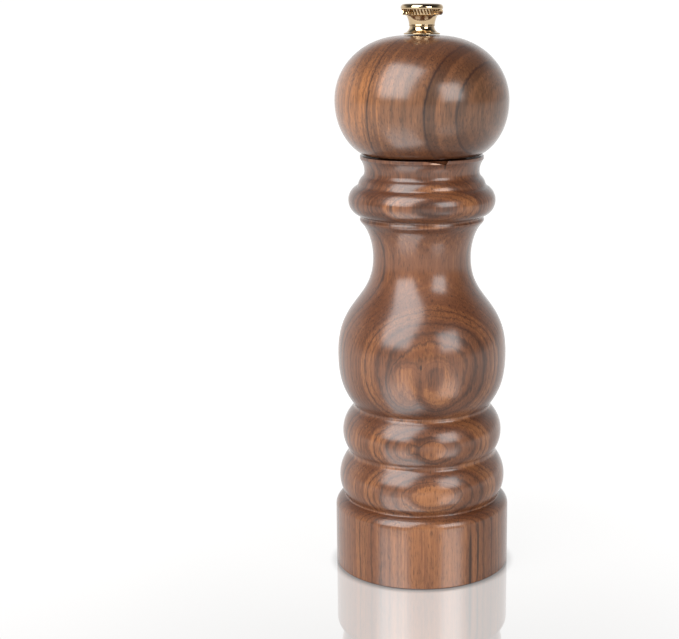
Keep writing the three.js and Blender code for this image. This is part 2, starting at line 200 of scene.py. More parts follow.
class Outline:
    """A pen that draws the outline of a turned piece as points of radius and height, in mm."""

    def __init__(self, r: float, z: float) -> None:
        """Puts the pen down at a radius and a height."""
        self.points = [Vector((r, z))]
        self.eased: list[tuple[int, float]] = []

    def ease(self, reach: float) -> "Outline":
        """Marks the corner at the pen to be rounded from reach before it to reach after it."""
        self.eased.append((len(self.points) - 1, reach))
        return self

    def line(self, r: float, z: float, step: float = 0.0) -> "Outline":
        """Draws a straight line.

        Args:
            r: Radius of its end.
            z: Height of its end.
            step: Distance between its points, or 0 for its end only.

        Returns:
            The outline.
        """
        start, end = self.points[-1], Vector((r, z))
        count = max(1, math.ceil((end - start).length / step)) if step else 1
        self.points += [start.lerp(end, i / count) for i in range(1, count + 1)]
        return self

    def arc(self, r: float, z: float, bulge: float) -> "Outline":
        """Draws an arc whose middle stands bulge off its chord, to the right of the way it goes.

        Args:
            r: Radius of its end.
            z: Height of its end.
            bulge: How far the middle stands out, or in where negative.

        Returns:
            The outline.
        """
        start, end = self.points[-1], Vector((r, z))
        chord = end - start
        radius = (chord.length**2 / 4 + bulge**2) / (2 * abs(bulge))
        side = Vector((chord.y, -chord.x)).normalized()
        centre = (start + end) / 2 - side * math.copysign(radius - abs(bulge), bulge)
        turn = 2 * math.asin(min(1.0, chord.length / 2 / radius))
        count = max(math.ceil(turn / CURVE_TURN), math.ceil(turn * radius / CURVE_STEP))
        spoke = start - centre
        for i in range(1, count + 1):
            swing = Matrix.Rotation(math.copysign(turn * i / count, bulge), 2)
            self.points.append(centre + swing @ spoke)
        return self

    def sweep(self, pull_out: Sequence[float], pull_in: Sequence[float], r: float, z: float) -> "Outline":
        """Draws a smooth curve.

        Args:
            pull_out: Point that it leaves towards.
            pull_in: Point that it arrives from.
            r: Radius of its end.
            z: Height of its end.

        Returns:
            The outline.
        """
        a, b, c, d = self.points[-1], Vector(pull_out), Vector(pull_in), Vector((r, z))
        count = math.ceil((b - a).length + (c - b).length + (d - c).length) + 6
        for i in range(1, count + 1):
            t = i / count
            u = 1 - t
            self.points.append(a * u**3 + b * (3 * u * u * t) + c * (3 * u * t * t) + d * t**3)
        return self

    def softened(self, radius: float, sharper_than: float = 14.0) -> list[Vector]:
        """Rounds every corner of the outline, as a turner's abrasive does.

        Args:
            radius: Radius of the rounding, made smaller where there is no room.
            sharper_than: Turn in degrees from which a point counts as a corner.

        Returns:
            The points of the rounded outline.
        """
        points = list(self.points)
        for place, reach in reversed(self.eased):
            corner, first, last = points[place], place, place
            while first > 0 and (points[first] - corner).length < reach:
                first -= 1
            while last < len(points) - 1 and (points[last] - corner).length < reach:
                last += 1
            points[first : last + 1] = rounded_corner(points[first], corner, points[last], 10)
        points = [p for i, p in enumerate(points) if i == 0 or (p - points[i - 1]).length > SAME_POINT]
        closed = (points[0] - points[-1]).length < SAME_POINT
        if closed:
            points.pop()
        rounded = []
        for i, corner in enumerate(points):
            before, after = points[i - 1], points[(i + 1) % len(points)]
            came, goes = corner - before, after - corner
            turn = came.angle(goes) if came.length and goes.length else 0.0
            if (not closed and i in (0, len(points) - 1)) or turn < math.radians(sharper_than):
                rounded.append(corner)
                continue
            back = min(radius * math.tan(turn / 2), 0.45 * came.length, 0.45 * goes.length)
            start, end = corner - came.normalized() * back, corner + goes.normalized() * back
            rounded += rounded_corner(start, corner, end, 5)
        return rounded + [rounded[0]] if closed else rounded


# --- Meshes ----------------------------------------------------------------------------------


def even_angles(count: int) -> list[float]:
    """Gives count angles round a turn, from the front (-Y)."""
    return [2 * math.pi * i / count - math.pi / 2 for i in range(count)]


def mesh_object(name: str, points: Iterable[Vector], faces: Iterable[Sequence[int]]) -> Piece:
    """Makes an object from points in millimetres.

    Args:
        name: The object's name.
        points: Its vertices.
        faces: Its faces, as numbers of vertices.

    Returns:
        The object, smooth but for its sharp edges, with its faces pointing out.
    """
    mesh = bpy.data.meshes.new(name)
    mesh.from_pydata([Vector(p) * MM for p in points], [], faces)
    made = bpy.data.objects.new(name, mesh)
    bpy.context.scene.collection.objects.link(made)
    return tidied(made)


def tidied(made: Piece) -> Piece:
    """Merges doubled points, turns faces out and shades a piece.

    Args:
        made: The piece.

    Returns:
        The piece.
    """
    work = bmesh.new()
    work.from_mesh(made.data)
    bmesh.ops.remove_doubles(work, verts=work.verts, dist=SAME_POINT * MM)
    bmesh.ops.recalc_face_normals(work, faces=work.faces)
    work.to_mesh(made.data)
    work.free()
    made.data.shade_smooth()
    made.data.set_sharp_from_angle(angle=SMOOTH_BELOW)
    return made


def bands(first: int, rows: int, sides: int, closed: bool = False) -> list[tuple[int, ...]]:
    """Gives the faces between rows of points that each go once round.

    Args:
        first: Number of the first row.
        rows: Number of rows.
        sides: Number of points in a row.
        closed: Whether the last row is joined to the first.

    Returns:
        The faces, as numbers of points.
    """
    faces = []
    for row in range(rows if closed else rows - 1):
        low, high = (first + row) * sides, (first + (row + 1) % rows) * sides
        faces += [(low + i, low + (i + 1) % sides, high + (i + 1) % sides, high + i) for i in range(sides)]
    return faces


def turned(name: str, outline: Sequence[Vector], angles: Sequence[float]) -> Piece:
    """Turns an outline about Z.

    Args:
        name: The object's name.
        outline: Points of radius and height, closed, or open with both ends on the axis.
        angles: Where the outline stands round the turn.

    Returns:
        The turned piece.
    """
    closed = (outline[0] - outline[-1]).length < SAME_POINT
    rows = outline[:-1] if closed else outline
    spokes = [(math.cos(a), math.sin(a)) for a in angles]
    points = [Vector((p.x * c, p.x * s, p.y)) for p in rows for c, s in spokes]
    return mesh_object(name, points, bands(0, len(rows), len(angles), closed))


def ring(name: str, radii: Pair, low: float, high: float, soft: float,
         sides: int = SMALL_SIDES) -> Piece:
    """Makes a flat ring.

    Args:
        name: The object's name.
        radii: Its inner and outer radius.
        low: Height of its underside.
        high: Height of its top.
        soft: Radius of its edges.
        sides: Number of points round it.

    Returns:
        The ring.
    """
    inner, outer = radii
    pen = Outline(inner, low).line(outer, low).line(outer, high).line(inner, high).line(inner, low)
    return turned(name, pen.softened(soft), even_angles(sides))


def walled(name: str, outer: RadiusAt, inner: RadiusAt | None, heights: Sequence[float], sides: int,
           twists: tuple[int, int] = (0, 0)) -> Piece:
    """Makes a piece whose walls are given as radius(angle, height).

    Args:
        name: The object's name.
        outer: Radius of the outer wall.
        inner: Radius of the hole's wall, or None for a solid piece.
        heights: Heights of its levels, rising.
        sides: Number of points round a level.
        twists: Points by which the top of the outer and inner wall is turned against the foot.

    Returns:
        The piece.
    """
    angles, levels, foot, top = even_angles(sides), len(heights), heights[0], heights[-1]
    points, faces = [], []
    for number, (wall, twist) in enumerate(zip((outer, inner), twists)):
        if not wall:
            continue
        for z in heights:
            swirl = 2 * math.pi * twist / sides * (z - foot) / (top - foot)
            spokes = [(wall(a, z), a + swirl) for a in angles]
            points += [Vector((r * math.cos(a), r * math.sin(a), z)) for r, a in spokes]
        faces += bands(number * levels, levels, sides)
    for level, shift in ((0, 0), (levels - 1, twists[0] - twists[1])):
        rim = range(level * sides, (level + 1) * sides)
        hole = (levels + level) * sides
        if not inner:
            faces.append(tuple(rim))
            continue
        for i, corner in enumerate(rim):
            after = rim[(i + 1) % sides]
            faces.append((corner, after, hole + (i + 1 + shift) % sides, hole + (i + shift) % sides))
    return mesh_object(name, points, faces)


def disc(name: str, r: float, low: float, high: float, sides: int = SMALL_SIDES) -> Piece:
    """Makes a plain round disc on Z between two heights."""
    return walled(name, lambda a, z: r, None, [low, high], sides)


def prism(name: str, outline: Sequence[Vector], way: Vector) -> Piece:
    """Makes a prism.

    Args:
        name: The object's name.
        outline: The corners of one end.
        way: From there to the other end.

    Returns:
        The prism.
    """
    n = len(outline)
    ends = [tuple(range(n)), tuple(range(2 * n - 1, n - 1, -1))]
    return mesh_object(name, [*outline, *(p + way for p in outline)], ends + bands(0, 2, n))


def block(name: str, size: Sequence[float], centre: Sequence[float]) -> Piece:
    """Makes a plain block.

    Args:
        name: The object's name.
        size: Its size along each axis.
        centre: Its middle.

    Returns:
        The block.
    """
    halves = (-0.5, 0.5)
    corners = [Vector((x, y, z)) * Vector(size) for x in halves for y in halves for z in halves]
    faces = [(0, 1, 3, 2), (4, 6, 7, 5), (0, 4, 5, 1), (2, 3, 7, 6), (0, 2, 6, 4), (1, 5, 7, 3)]
    return mesh_object(name, [c + Vector(centre) for c in corners], faces)


def square_radius(side: float, angle: float) -> float:
    """Gives the radius of a square of the given side at an angle."""
    return side / 2 / max(abs(math.cos(angle)), abs(math.sin(angle)))


def baked(made: Piece) -> Piece:
    """Turns a piece's modifiers into plain mesh and removes them.

    Args:
        made: The piece.

    Returns:
        The piece.
    """
    graph = bpy.context.evaluated_depsgraph_get()
    made.data = bpy.data.meshes.new_from_object(made.evaluated_get(graph))
    made.modifiers.clear()
    return tidied(made)


def worked(blank: Piece, cuts: Sequence[Piece] = (), joins: Sequence[Piece] = (), edge: float = 0.0) -> None:
    """Joins pieces to a blank, cuts others out of it and breaks its edges.

    Args:
        blank: The piece to work on, plain mesh again at the end.
        cuts: Pieces to cut away, used up.
        joins: Pieces to join first, used up.
        edge: Width of the rounded edges in millimetres.
    """
    for operation, tools in (("UNION", joins), ("DIFFERENCE", cuts)):
        for tool in tools:
            step = blank.modifiers.new(tool.name, "BOOLEAN")
            step.operation, step.object, step.solver = operation, tool, "EXACT"
    if edge:
        rounding = blank.modifiers.new("edge", "BEVEL")
        rounding.width, rounding.segments, rounding.limit_method = edge * MM, 3, "ANGLE"
        rounding.angle_limit = BEVEL_ABOVE
    baked(blank)
    for tool in (*cuts, *joins):
        bpy.data.objects.remove(tool)


# --- Copies round the axis -------------------------------------------------------------------


class CopiesRoundAxis:
    """Geometry Nodes tree that sets copies of a piece round Z, at a fixed pitch angle."""

    SOCKETS = {"Geometry": "Geometry", "Count": "Int", "First Angle": "Float", "Pitch Angle": "Float",
               "Material": "Material"}

    def __init__(self) -> None:
        """Builds the tree."""
        self.tree = bpy.data.node_groups.new("copies_round_axis", "GeometryNodeTree")
        face = self.tree.interface
        for name, kind in self.SOCKETS.items():
            face.new_socket(name, in_out="INPUT", socket_type=f"NodeSocket{kind}")
        face.new_socket("Geometry", in_out="OUTPUT", socket_type="NodeSocketGeometry")
        add = partial(add_node, self.tree)
        entry = add("NodeGroupInput")
        index = add("GeometryNodeInputIndex")[0]
        step = add(MATH, {0: index, 1: entry["Pitch Angle"]}, operation="MULTIPLY")[0]
        angle = add(MATH, {0: step, 1: entry["First Angle"]})[0]
        turn = add("ShaderNodeCombineXYZ", {"Z": angle})[0]
        spots = add("GeometryNodePoints", {"Count": entry["Count"]})[0]
        links = {"Points": spots, "Instance": entry["Geometry"], "Rotation": turn}
        copies = add("GeometryNodeInstanceOnPoints", links)[0]
        real = add("GeometryNodeRealizeInstances", {"Geometry": copies})[0]
        dressed = add("GeometryNodeSetMaterial", {"Geometry": real, "Material": entry["Material"]})[0]
        add("NodeGroupOutput", {"Geometry": dressed})

    def apply(self, made: Piece, material: Material, degrees: Sequence[float]) -> None:
        """Replaces a piece by copies of it, as plain mesh.

        Args:
            made: The piece, made at angle 0.
            material: What the copies are made of.
            degrees: The copies' angles, a fixed step apart.
        """
        values = {
            "Count": len(degrees),
            "First Angle": math.radians(degrees[0]),
            "Pitch Angle": math.radians(degrees[1] - degrees[0]),
            "Material": material,
        }
        step = made.modifiers.new("copies", "NODES")
        step.node_group = self.tree
        for socket in self.tree.interface.items_tree:
            if socket.name in values:
                step[socket.identifier] = values[socket.name]
        baked(made)


def round_steps(count: int, first: float = 0.0) -> list[float]:
    """Gives count angles in degrees, even round a turn from the first."""
    return [first + 360.0 / count * i for i in range(count)]


def finish_piece(made: Piece, material: Material, body: Body, slot: Slot, *nodes: str) -> None:
    """Gives a piece its material, body and the CAD nodes that it stands for.

    Args:
        made: The piece, in its place.
        material: Its material.
        body: The body that it moves with.
        slot: The record's material slot; not used.
        *nodes: CAD nodes that it replaces.
    """
    made.data.materials.clear()
    made.data.materials.append(material)
    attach(made, body.value)
    if nodes:
        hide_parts(*nodes)
    log.info("%s: %d faces, rides on %s", made.name, len(made.data.polygons), body.value)


# --- Finishes --------------------------------------------------------------------------------


def new_material(name: str) -> tuple[Material, Adder]:
    """Makes an empty material.

    Args:
        name: The material's name.

    Returns:
        The material, and the function that adds a node to it.
    """
    material = bpy.data.materials.new(name)
    material.use_nodes = True
    material.node_tree.nodes.clear()
    return material, partial(add_node, material.node_tree)


def oval_distance(add: Adder, place: Socket, middle: Triple, reach: Triple) -> Socket:
    """Adds how far a place is from the middle of an oval spot.

    Args:
        add: Adds a node to the material.
        place: Place in the object, in mm.
        middle: The spot's middle.
        reach: Half its size along each axis.

    Returns:
        0 at the middle and 1 at the edge.
    """
    away = add(VECTORS, {0: place, 1: middle}, operation="SUBTRACT")[0]
    scaled = add(VECTORS, {0: away, 1: reach}, operation="DIVIDE")[0]
    return add(VECTORS, {0: scaled}, operation="LENGTH")["Value"]


def layered(add: Adder, colour: Socket | Sequence[float], layers: Iterable[tuple[Socket, str]]) -> Socket:
    """Lays colours over a colour, one after another.

    Args:
        add: Adds a node to the material.
        colour: The colour below.
        layers: Each one's share and its colour, six hex digits.

    Returns:
        The colour that shows.
    """
    for share, over in layers:
        links = {"Factor": share, 6: colour, 7: linear(over)}
        colour = add(MIX, links, data_type="RGBA")[2]
    return colour


@dataclass(frozen=True)
class DarkLine:
    """A dark line that follows one growth ring. Distances in mm from the pith."""

    distance: float
    width: float
    depth: float


@dataclass(frozen=True)
class Swell:
    """A place where the rings bulge outwards, as over an old bud, and leave a pale oval. In mm."""

    place: Triple
    reach: Triple
    lift: float
    pale: float
    rim: float


@dataclass(frozen=True)
class Mark:
    """A small crack, break or painted highlight: where it is, half its size along each axis in mm, and its
    colour.
    """

    place: Triple
    reach: Triple
    colour: str


@dataclass(frozen=True)
class Figure:
    """How strongly the rings show at a height in mm, from 0 to 1, and how much darker the wood is."""

    height: float
    strength: float
    shade: float


@dataclass(frozen=True)
class LacqueredWalnut:
    """Black walnut, turned, sanded and sprayed with clear satin lacquer.

    The rings are the log's own, so a bulb cuts them into ovals and a straight side into lines.
    """

    name: str
    pith: Pair  # where the pith stands, in mm
    lean: float  # how far the pith leans, in degrees
    band: float  # mm of growth for the coarsest bands
    drift: float  # mm that the rings wander
    seed: float
    heart: tuple[float, float, float, float]  # two distances from the pith, and how much darker they are
    figures: tuple[Figure, ...]
    dark_lines: tuple[DarkLine, ...] = ()
    swells: tuple[Swell, ...] = ()
    marks: tuple[Mark, ...] = ()
    light: str = "8a5936"
    middle: str = "6a4129"
    dark: str = "3f2519"
    pigment: str = "271913"
    end_grain: str = "43200f"

    def random_field(self, add: Adder, place: Socket, across: float, along: float, layer: int,
                     detail: float = 2.0) -> Outputs:
        """Adds a random field that is drawn out along the grain.

        Args:
            add: Adds a node to the material.
            place: Place in the log, in mm.
            across: Size of its cells across the grain, in mm.
            along: Size of its cells along the grain, in mm.
            layer: Number that keeps the fields apart.
            detail: How much finer detail it has.

        Returns:
            The field as a value and as a colour.
        """
        scale = (1 / across, 1 / across, 1 / along)
        scaled = add(VECTORS, {0: place, 1: scale}, operation="MULTIPLY")[0]
        values = {"Vector": scaled, "W": self.seed + 3.7 * layer, "Scale": 1.0, "Detail": detail}
        return add(NOISE, values, noise_dimensions="4D")

    def pith_distance(self, add: Adder, place: Socket) -> Socket:
        """Adds the distance from the pith, moved by the log's own unevenness.

        Args:
            add: Adds a node to the material.
            place: Place in the object, in mm.

        Returns:
            The distance in mm.
        """
        to_pith, lean = (-self.pith[0], -self.pith[1], 0.0), (0.0, math.radians(self.lean), 0.0)
        warped = add(MAPPING, {"Vector": place, "Location": to_pith, "Rotation": lean})[0]
        for across, along, reach, layer in ((30, 90, self.drift, 0), (7, 26, 0.3 * self.drift, 1)):
            noise = self.random_field(add, place, across, along, layer)["Color"]
            centred = add(VECTORS, {0: noise, 1: (0.5, 0.5, 0.5)}, operation="SUBTRACT")[0]
            warped = add(VECTORS, {0: centred, 1: (reach, reach, 0), 2: warped}, operation="MULTIPLY_ADD")[0]
        flat = add(VECTORS, {0: warped, 1: (1, 1, 0)}, operation="MULTIPLY")[0]
        return add(VECTORS, {0: flat}, operation="LENGTH")["Value"]

    def ring_distance(self, add: Adder, place: Socket) -> tuple[Socket, Socket | float]:
        """Adds the distance that the rings follow: bulged at the swells, with a ragged edge.

        Args:
            add: Adds a node to the material.
            place: Place in the object, in mm.

        Returns:
            The distance in mm, and how much darker the wood is round the swells.
        """
        distance, darker = self.pith_distance(add, place), 0.0
        for swell in self.swells:
            far = oval_distance(add, place, swell.place, swell.reach)
            values = {"Value": far, "From Min": 0.5, "To Min": 1.0, "To Max": 0.0}
            inside = add(RANGE, values, interpolation_type="SMOOTHSTEP")[0]
            outside = add(MATH, {0: 1.0, 1: inside}, operation="SUBTRACT")[0]
            rim = add(MATH, {0: inside, 1: outside}, operation="MULTIPLY")[0]
            distance = add(MATH, {0: inside, 1: swell.lift, 2: distance}, operation="MULTIPLY_ADD")[0]
            darker = add(MATH, {0: inside, 1: -swell.pale, 2: darker}, operation="MULTIPLY_ADD")[0]
            darker = add(MATH, {0: rim, 1: 4 * swell.rim, 2: darker}, operation="MULTIPLY_ADD")[0]
        ragged = self.random_field(add, place, 0.9, 4.0, 2)[0]
        distance = add(MATH, {0: ragged, 1: 0.9, 2: distance}, operation="MULTIPLY_ADD")[0]
        return add(MATH, {0: distance, 1: 0.45}, operation="SUBTRACT")[0], darker

    def growth(self, add: Adder, place: Socket, distance: Socket, patches: Socket) -> Socket:
        """Adds the growth, which shows as bands of every width that follow the rings.

        Args:
            add: Adds a node to the material.
            place: Place in the object, in mm.
            distance: Distance that the rings follow, in mm.
            patches: Random field of paler and darker patches.

        Returns:
            The growth, higher where the wood is darker.
        """
        rings = add(MATH, {0: distance, 1: self.band}, operation="DIVIDE")[0]
        rings = add(MATH, {0: rings, 1: self.seed})[0]
        values = {"W": rings, "Scale": 1.0, "Detail": 6.0, "Roughness": 0.74}
        growth = add(NOISE, values, noise_dimensions="1D")[0]
        growth = add(MATH, {0: patches, 1: 0.4, 2: growth}, operation="MULTIPLY_ADD")[0]

        # Where the grain runs straight the figure is calm; where a curve cuts across it, it is lively.
        height = add("ShaderNodeSeparateXYZ", {"Vector": place})["Z"]
        height = add(MATH, {0: height, 1: TOP_Z}, operation="DIVIDE")[0]
        ramp = add("ShaderNodeValToRGB", {"Fac": height})[0]
        stops = ramp.node.color_ramp.elements
        for i, figure in enumerate(self.figures):
            stop = stops[i] if i < 2 else stops.new(1.0)
            stop.position = figure.height / TOP_Z
            stop.color = (figure.strength, figure.shade, 0.0, 1.0)
        shown = add("ShaderNodeSeparateColor", {"Color": ramp})
        growth = add(MATH, {0: growth, 1: EVEN_GROWTH}, operation="SUBTRACT")[0]
        growth = add(MATH, {0: growth, 1: shown["Red"], 2: EVEN_GROWTH}, operation="MULTIPLY_ADD")[0]
        growth = add(MATH, {0: growth, 1: shown["Green"]})[0]
        near, far, near_depth, far_depth = self.heart
        values = {"Value": distance, "From Min": near, "From Max": far}
        values |= {"To Min": near_depth, "To Max": far_depth}
        return add(MATH, {0: growth, 1: add(RANGE, values)[0]})[0]

    def material(self) -> Material:
        """Builds the material.

        Returns:
            Walnut: warm brown with darker rings, pigment lines, fine pores and a soft lacquer sheen.
        """
        material, add = new_material(self.name)
        coords = add(COORDS)
        place = add(MAPPING, {"Vector": coords["Object"], "Scale": (1 / MM, 1 / MM, 1 / MM)})[0]
        distance, darker = self.ring_distance(add, place)
        patches = self.random_field(add, place, 9.0, 34.0, 3)[0]
        growth = self.growth(add, place, distance, patches)
        growth = add(MATH, {0: growth, 1: darker})[0]

        # Fibres and pores. Real pores are 0.1 to 0.2 mm across; they are drawn 0.3 mm wide to show.
        fibre = self.random_field(add, place, 0.55, 30.0, 4, detail=3.0)[0]
        growth = add(MATH, {0: fibre, 1: 0.45, 2: growth}, operation="MULTIPLY_ADD")[0]
        pores = self.random_field(add, place, 0.3, 2.0, 5)[0]
        values = {"Value": pores, "From Min": 0.3, "From Max": 0.6, "To Min": 1.12, "To Max": 0.92}
        flecks = add(RANGE, values)[0]
        values = {"Value": pores, "From Min": 0.56, "From Max": 0.68}
        pores = add(RANGE, values, interpolation_type="SMOOTHSTEP")[0]

        layers = []
        for low, high, most, over in ((0.78, 1.02, 1.0, self.middle), (0.98, 1.28, 0.8, self.dark)):
            values = {"Value": growth, "From Min": low, "From Max": high, "To Max": most}
            layers.append((add(RANGE, values, interpolation_type="SMOOTHSTEP")[0], over))
        values = {"Value": patches, "From Min": 0.25, "From Max": 0.5, "To Min": 0.55}
        thin = add(RANGE, values)[0]
        for line in self.dark_lines:
            off = add(MATH, {0: distance, 1: line.distance}, operation="SUBTRACT")[0]
            off = add(MATH, {0: off}, operation="ABSOLUTE")[0]
            values = {"Value": off, "From Max": line.width, "To Min": line.depth, "To Max": 0.0}
            share = add(RANGE, values, interpolation_type="SMOOTHSTEP")[0]
            layers.append((add(MATH, {0: share, 1: thin}, operation="MULTIPLY")[0], self.pigment))
        colour = layered(add, linear(self.light), layers)
        colour = add(VECTORS, {0: colour, "Scale": flecks}, operation="SCALE")[0]

        # Surfaces that face up or down are end grain, which drinks more lacquer and goes darker.
        facing = add("ShaderNodeSeparateXYZ", {"Vector": coords["Normal"]})["Z"]
        facing = add(MATH, {0: facing}, operation="ABSOLUTE")[0]
        values = {"Value": facing, "From Min": 0.15, "From Max": 0.9, "To Max": 0.65}
        end_grain = add(RANGE, values, interpolation_type="SMOOTHSTEP")[0]
        open_pores = add(MATH, {0: end_grain, 1: 0.9, 2: 0.42}, operation="MULTIPLY_ADD")[0]
        open_pores = add(MATH, {0: pores, 1: open_pores}, operation="MULTIPLY")[0]
        layers = [(end_grain, self.end_grain), (open_pores, self.pigment)]
        # Cracks, dark streaks and a painted highlight on the chip's edge.
        for mark in self.marks:
            far = oval_distance(add, place, mark.place, mark.reach)
            values = {"Value": far, "From Min": 0.6, "From Max": 1.0, "To Min": 0.9, "To Max": 0.0}
            layers.append((add(RANGE, values)[0], mark.colour))
        height = add(MATH, {0: fibre, 1: 0.4, 2: pores}, operation="MULTIPLY_ADD")[0]
        values = {"Height": height, "Strength": 0.4, "Distance": 0.03 * MM}
        shader = add(SHADER, {
            "Base Color": layered(add, colour, layers),
            "Normal": add("ShaderNodeBump", values, invert=True)[0],
            "Roughness": 0.5,
            "Specular IOR Level": 0.15,
            "IOR": 1.5,
            "Coat Weight": 1.0,
            "Coat Roughness": 0.23,
            "Coat IOR": 1.5,
        })
        add(OUTPUT, {"Surface": shader[0]})
        return material


@dataclass(frozen=True)
class WorkedMetal:
    """A metal with fine tool or brushing marks, given as sizes of the marks in mm along each axis."""

    name: str
    colour: str
    roughness: float
    marks: Triple
    mark_depth: float
    stain: str

    def material(self) -> Material:
        """Builds the material.

        Returns:
            Metal whose marks break up its reflections.
        """
        material, add = new_material(self.name)
        coords = add(COORDS)["Object"]
        scale = tuple(1 / size / MM for size in self.marks)
        place = add(MAPPING, {"Vector": coords, "Scale": scale})[0]
        marks = add(NOISE, {"Vector": place, "Scale": 1.0, "Detail": 3.0})[0]
        smudges = add(NOISE, {"Vector": coords, "Scale": 0.25 / MM, "Detail": 2.0})[0]
        both = add(MATH, {0: marks, 1: smudges}, operation="MULTIPLY")[0]
        values = {"Value": both, "From Min": 0.1, "From Max": 0.4}
        values |= {"To Min": 0.75 * self.roughness, "To Max": 1.3 * self.roughness}
        bump = {"Height": marks, "Strength": 0.5, "Distance": self.mark_depth * MM}
        shader = add(SHADER, {
            "Base Color": layered(add, linear(self.colour), [(smudges, self.stain)]),
            "Roughness": add(RANGE, values)[0],
            "Normal": add("ShaderNodeBump", bump)[0],
            "Metallic": 1.0,
        })
        add(OUTPUT, {"Surface": shader[0]})
        return material


@dataclass(frozen=True)
class MouldedNylon:
    """Injection-moulded natural nylon: off-white, waxy, a little light goes into it."""

    name: str = "moulded_nylon"
    colour: str = "e3dccb"
    roughness: float = 0.42

    def material(self) -> Material:
        """Builds the material.

        Returns:
            A soft plastic with a faint spark-eroded texture.
        """
        material, add = new_material(self.name)
        coords = add(COORDS)["Object"]
        grain = add(NOISE, {"Vector": coords, "Scale": 4 / MM, "Detail": 2.0})[0]
        bump = {"Height": grain, "Strength": 0.3, "Distance": 0.02 * MM}
        shader = add(SHADER, {
            "Normal": add("ShaderNodeBump", bump)[0],
            "Base Color": linear(self.colour),
            "Roughness": self.roughness,
            "IOR": 1.53,
            "Subsurface Weight": 0.15,
            "Subsurface Scale": 1.0 * MM,
        })
        add(OUTPUT, {"Surface": shader[0]})
        return material


class Finishes:
    """All the materials of the mill, each built once."""

    def __init__(self) -> None:
        """Builds the materials."""
        # The body is flat sawn: the pith lies behind, so ovals stand on the front of the bulb and beads.
        self.body_walnut = LacqueredWalnut(
            "walnut_body", pith=(-8.0, 52.0), lean=0.0, band=3.0, drift=1.8, seed=9.0,
            heart=(54.0, 78.0, 0.08, 0.0),
            figures=tuple(Figure(*row) for row in (
                (8.0, 0.4, -0.04), (22.0, 0.5, -0.02), (28.0, 1.0, 0.04), (56.0, 1.0, 0.09),
                (78.0, 1.15, 0.13), (90.0, 0.6, 0.05), (110.0, 0.6, 0.03), (115.0, 1.4, 0.18),
                (125.0, 1.4, 0.18), (132.0, 0.8, 0.12))),
            dark_lines=tuple(DarkLine(*row) for row in (
                (79.3, 0.3, 0.3), (78.3, 0.25, 0.5), (77.2, 0.35, 0.6), (75.6, 0.25, 0.55),
                (74.3, 0.22, 0.5), (73.1, 0.25, 0.6), (62.5, 0.6, 0.7))),
            swells=(Swell((5.0, -25.5, 65.0), (7.6, 12.0, 10.5), 1.9, 0.06, 0.14),
                    Swell((-5.6, -25.5, 65.0), (6.8, 12.0, 10.5), 1.7, 0.04, 0.12),
                    Swell((3.6, -27.0, 44.5), (6.2, 8.0, 5.2), 1.0, 0.06, 0.14),
                    Swell((-6.4, -27.0, 45.5), (7.0, 8.0, 5.6), 0.9, 0.08, 0.08),
                    Swell((4.0, -27.5, 30.5), (11.5, 8.0, 5.2), 1.0, 0.06, 0.12)),
            marks=(Mark((-0.3, -26.8, 71.6), (0.3, 2.0, 1.0), "1d120d"),
                   Mark((7.0, -18.0, 131.6), (0.28, 2.0, 1.1), "1d120d"),
                   # a painted highlight along the lower edge of the chip
                   Mark((4.7, -18.9, 132.7), (2.6, 1.4, 0.35), "c09c84"),
                   Mark((15.3, -23.6, 7.0), (0.5, 4.0, 15.0), "2c1b12"),
                   Mark((17.7, -21.8, 11.0), (0.4, 4.0, 12.0), "3a2519")),
        ).material()
        # The head's block shows its rings edge on: lines run down the front from the upper right.
        self.head_walnut = LacqueredWalnut(
            "walnut_head", pith=(-154.0, 61.0), lean=-6.9, band=2.4, drift=2.0, seed=4.0,
            heart=(172.0, 142.0, 0.25, -0.04),
            figures=(Figure(134.0, 0.85, 0.0), Figure(172.0, 0.85, 0.0)),
            dark_lines=tuple(DarkLine(*row) for row in (
                (164.6, 1.8, 0.35), (163.1, 0.55, 1.0), (162.6, 1.2, 0.4),
                (170.6, 1.6, 0.3), (170.0, 0.45, 0.9), (145.5, 0.4, 0.9))),
            light="98633b", middle="70492f", dark="48301f",
        ).material()
        # Polished brass, lacquered: pale gold with clear black and white reflections.
        self.brass = WorkedMetal(
            "polished_brass", "c8b394", 0.06, (0.5, 0.5, 0.05), 0.002, "bda27c").material()
        # Stamped stainless sheet, tumbled: grey, softly streaked along X by the rolling mill.
        self.stainless = WorkedMetal(
            "stamped_stainless", "c4c5c6", 0.28, (3.0, 0.12, 3.0), 0.004, "b4b5b7").material()
        # Drawn stainless bar: brushed along its length.
        self.drawn_bar = WorkedMetal(
            "drawn_stainless_bar", "c9cacb", 0.22, (0.12, 0.12, 8.0), 0.004, "bcbdbf").material()
        # Hardened tool steel, machined: darker, with fine turning marks.
        self.grinder = WorkedMetal(
            "hardened_steel", "8b8c8e", 0.36, (2.0, 2.0, 0.1), 0.008, "77736e").material()
        # Hard-drawn spring wire: smooth and dark grey.
        self.spring = WorkedMetal(
            "spring_wire", "a5a7a9", 0.25, (0.4, 0.4, 0.4), 0.004, "94959a").material()
        # Bright zinc plate on the screws: a little blue, slightly cloudy.
        self.zinc = WorkedMetal(
            "zinc_plate", "c3c8cc", 0.25, (0.6, 0.6, 0.6), 0.004, "b2b2ab").material()
        self.nylon = MouldedNylon().material()


# --- Wood ------------------------------------------------------------------------------------


@dataclass
class Chip:
    """A splinter gone from the outer edge of the body's lip. Angles in degrees from the front."""

    first: float = 3.0
    deepest: float = 22.0
    last: float = 24.5
    depth: float = 1.15
    inner_r: float = 17.3
    slope: float = 0.9

    def lowered(self, angle: float, r: float) -> float:
        """Gives how far the lip is broken down.

        Args:
            angle: Where round the body, in degrees from the front.
            r: Distance from the axis.

        Returns:
            The depth in millimetres.
        """
        if not self.first < angle < self.last or r < self.inner_r:
            return 0.0
        rise = (angle - self.first) / (self.deepest - self.first)
        fall = (self.last - angle) / (self.last - self.deepest)
        along = min(rise, fall) + 0.05 * math.sin(2.3 * angle)
        inwards = min(1.0, (r - self.inner_r) / self.slope)
        return self.depth * max(0.0, along) * inwards


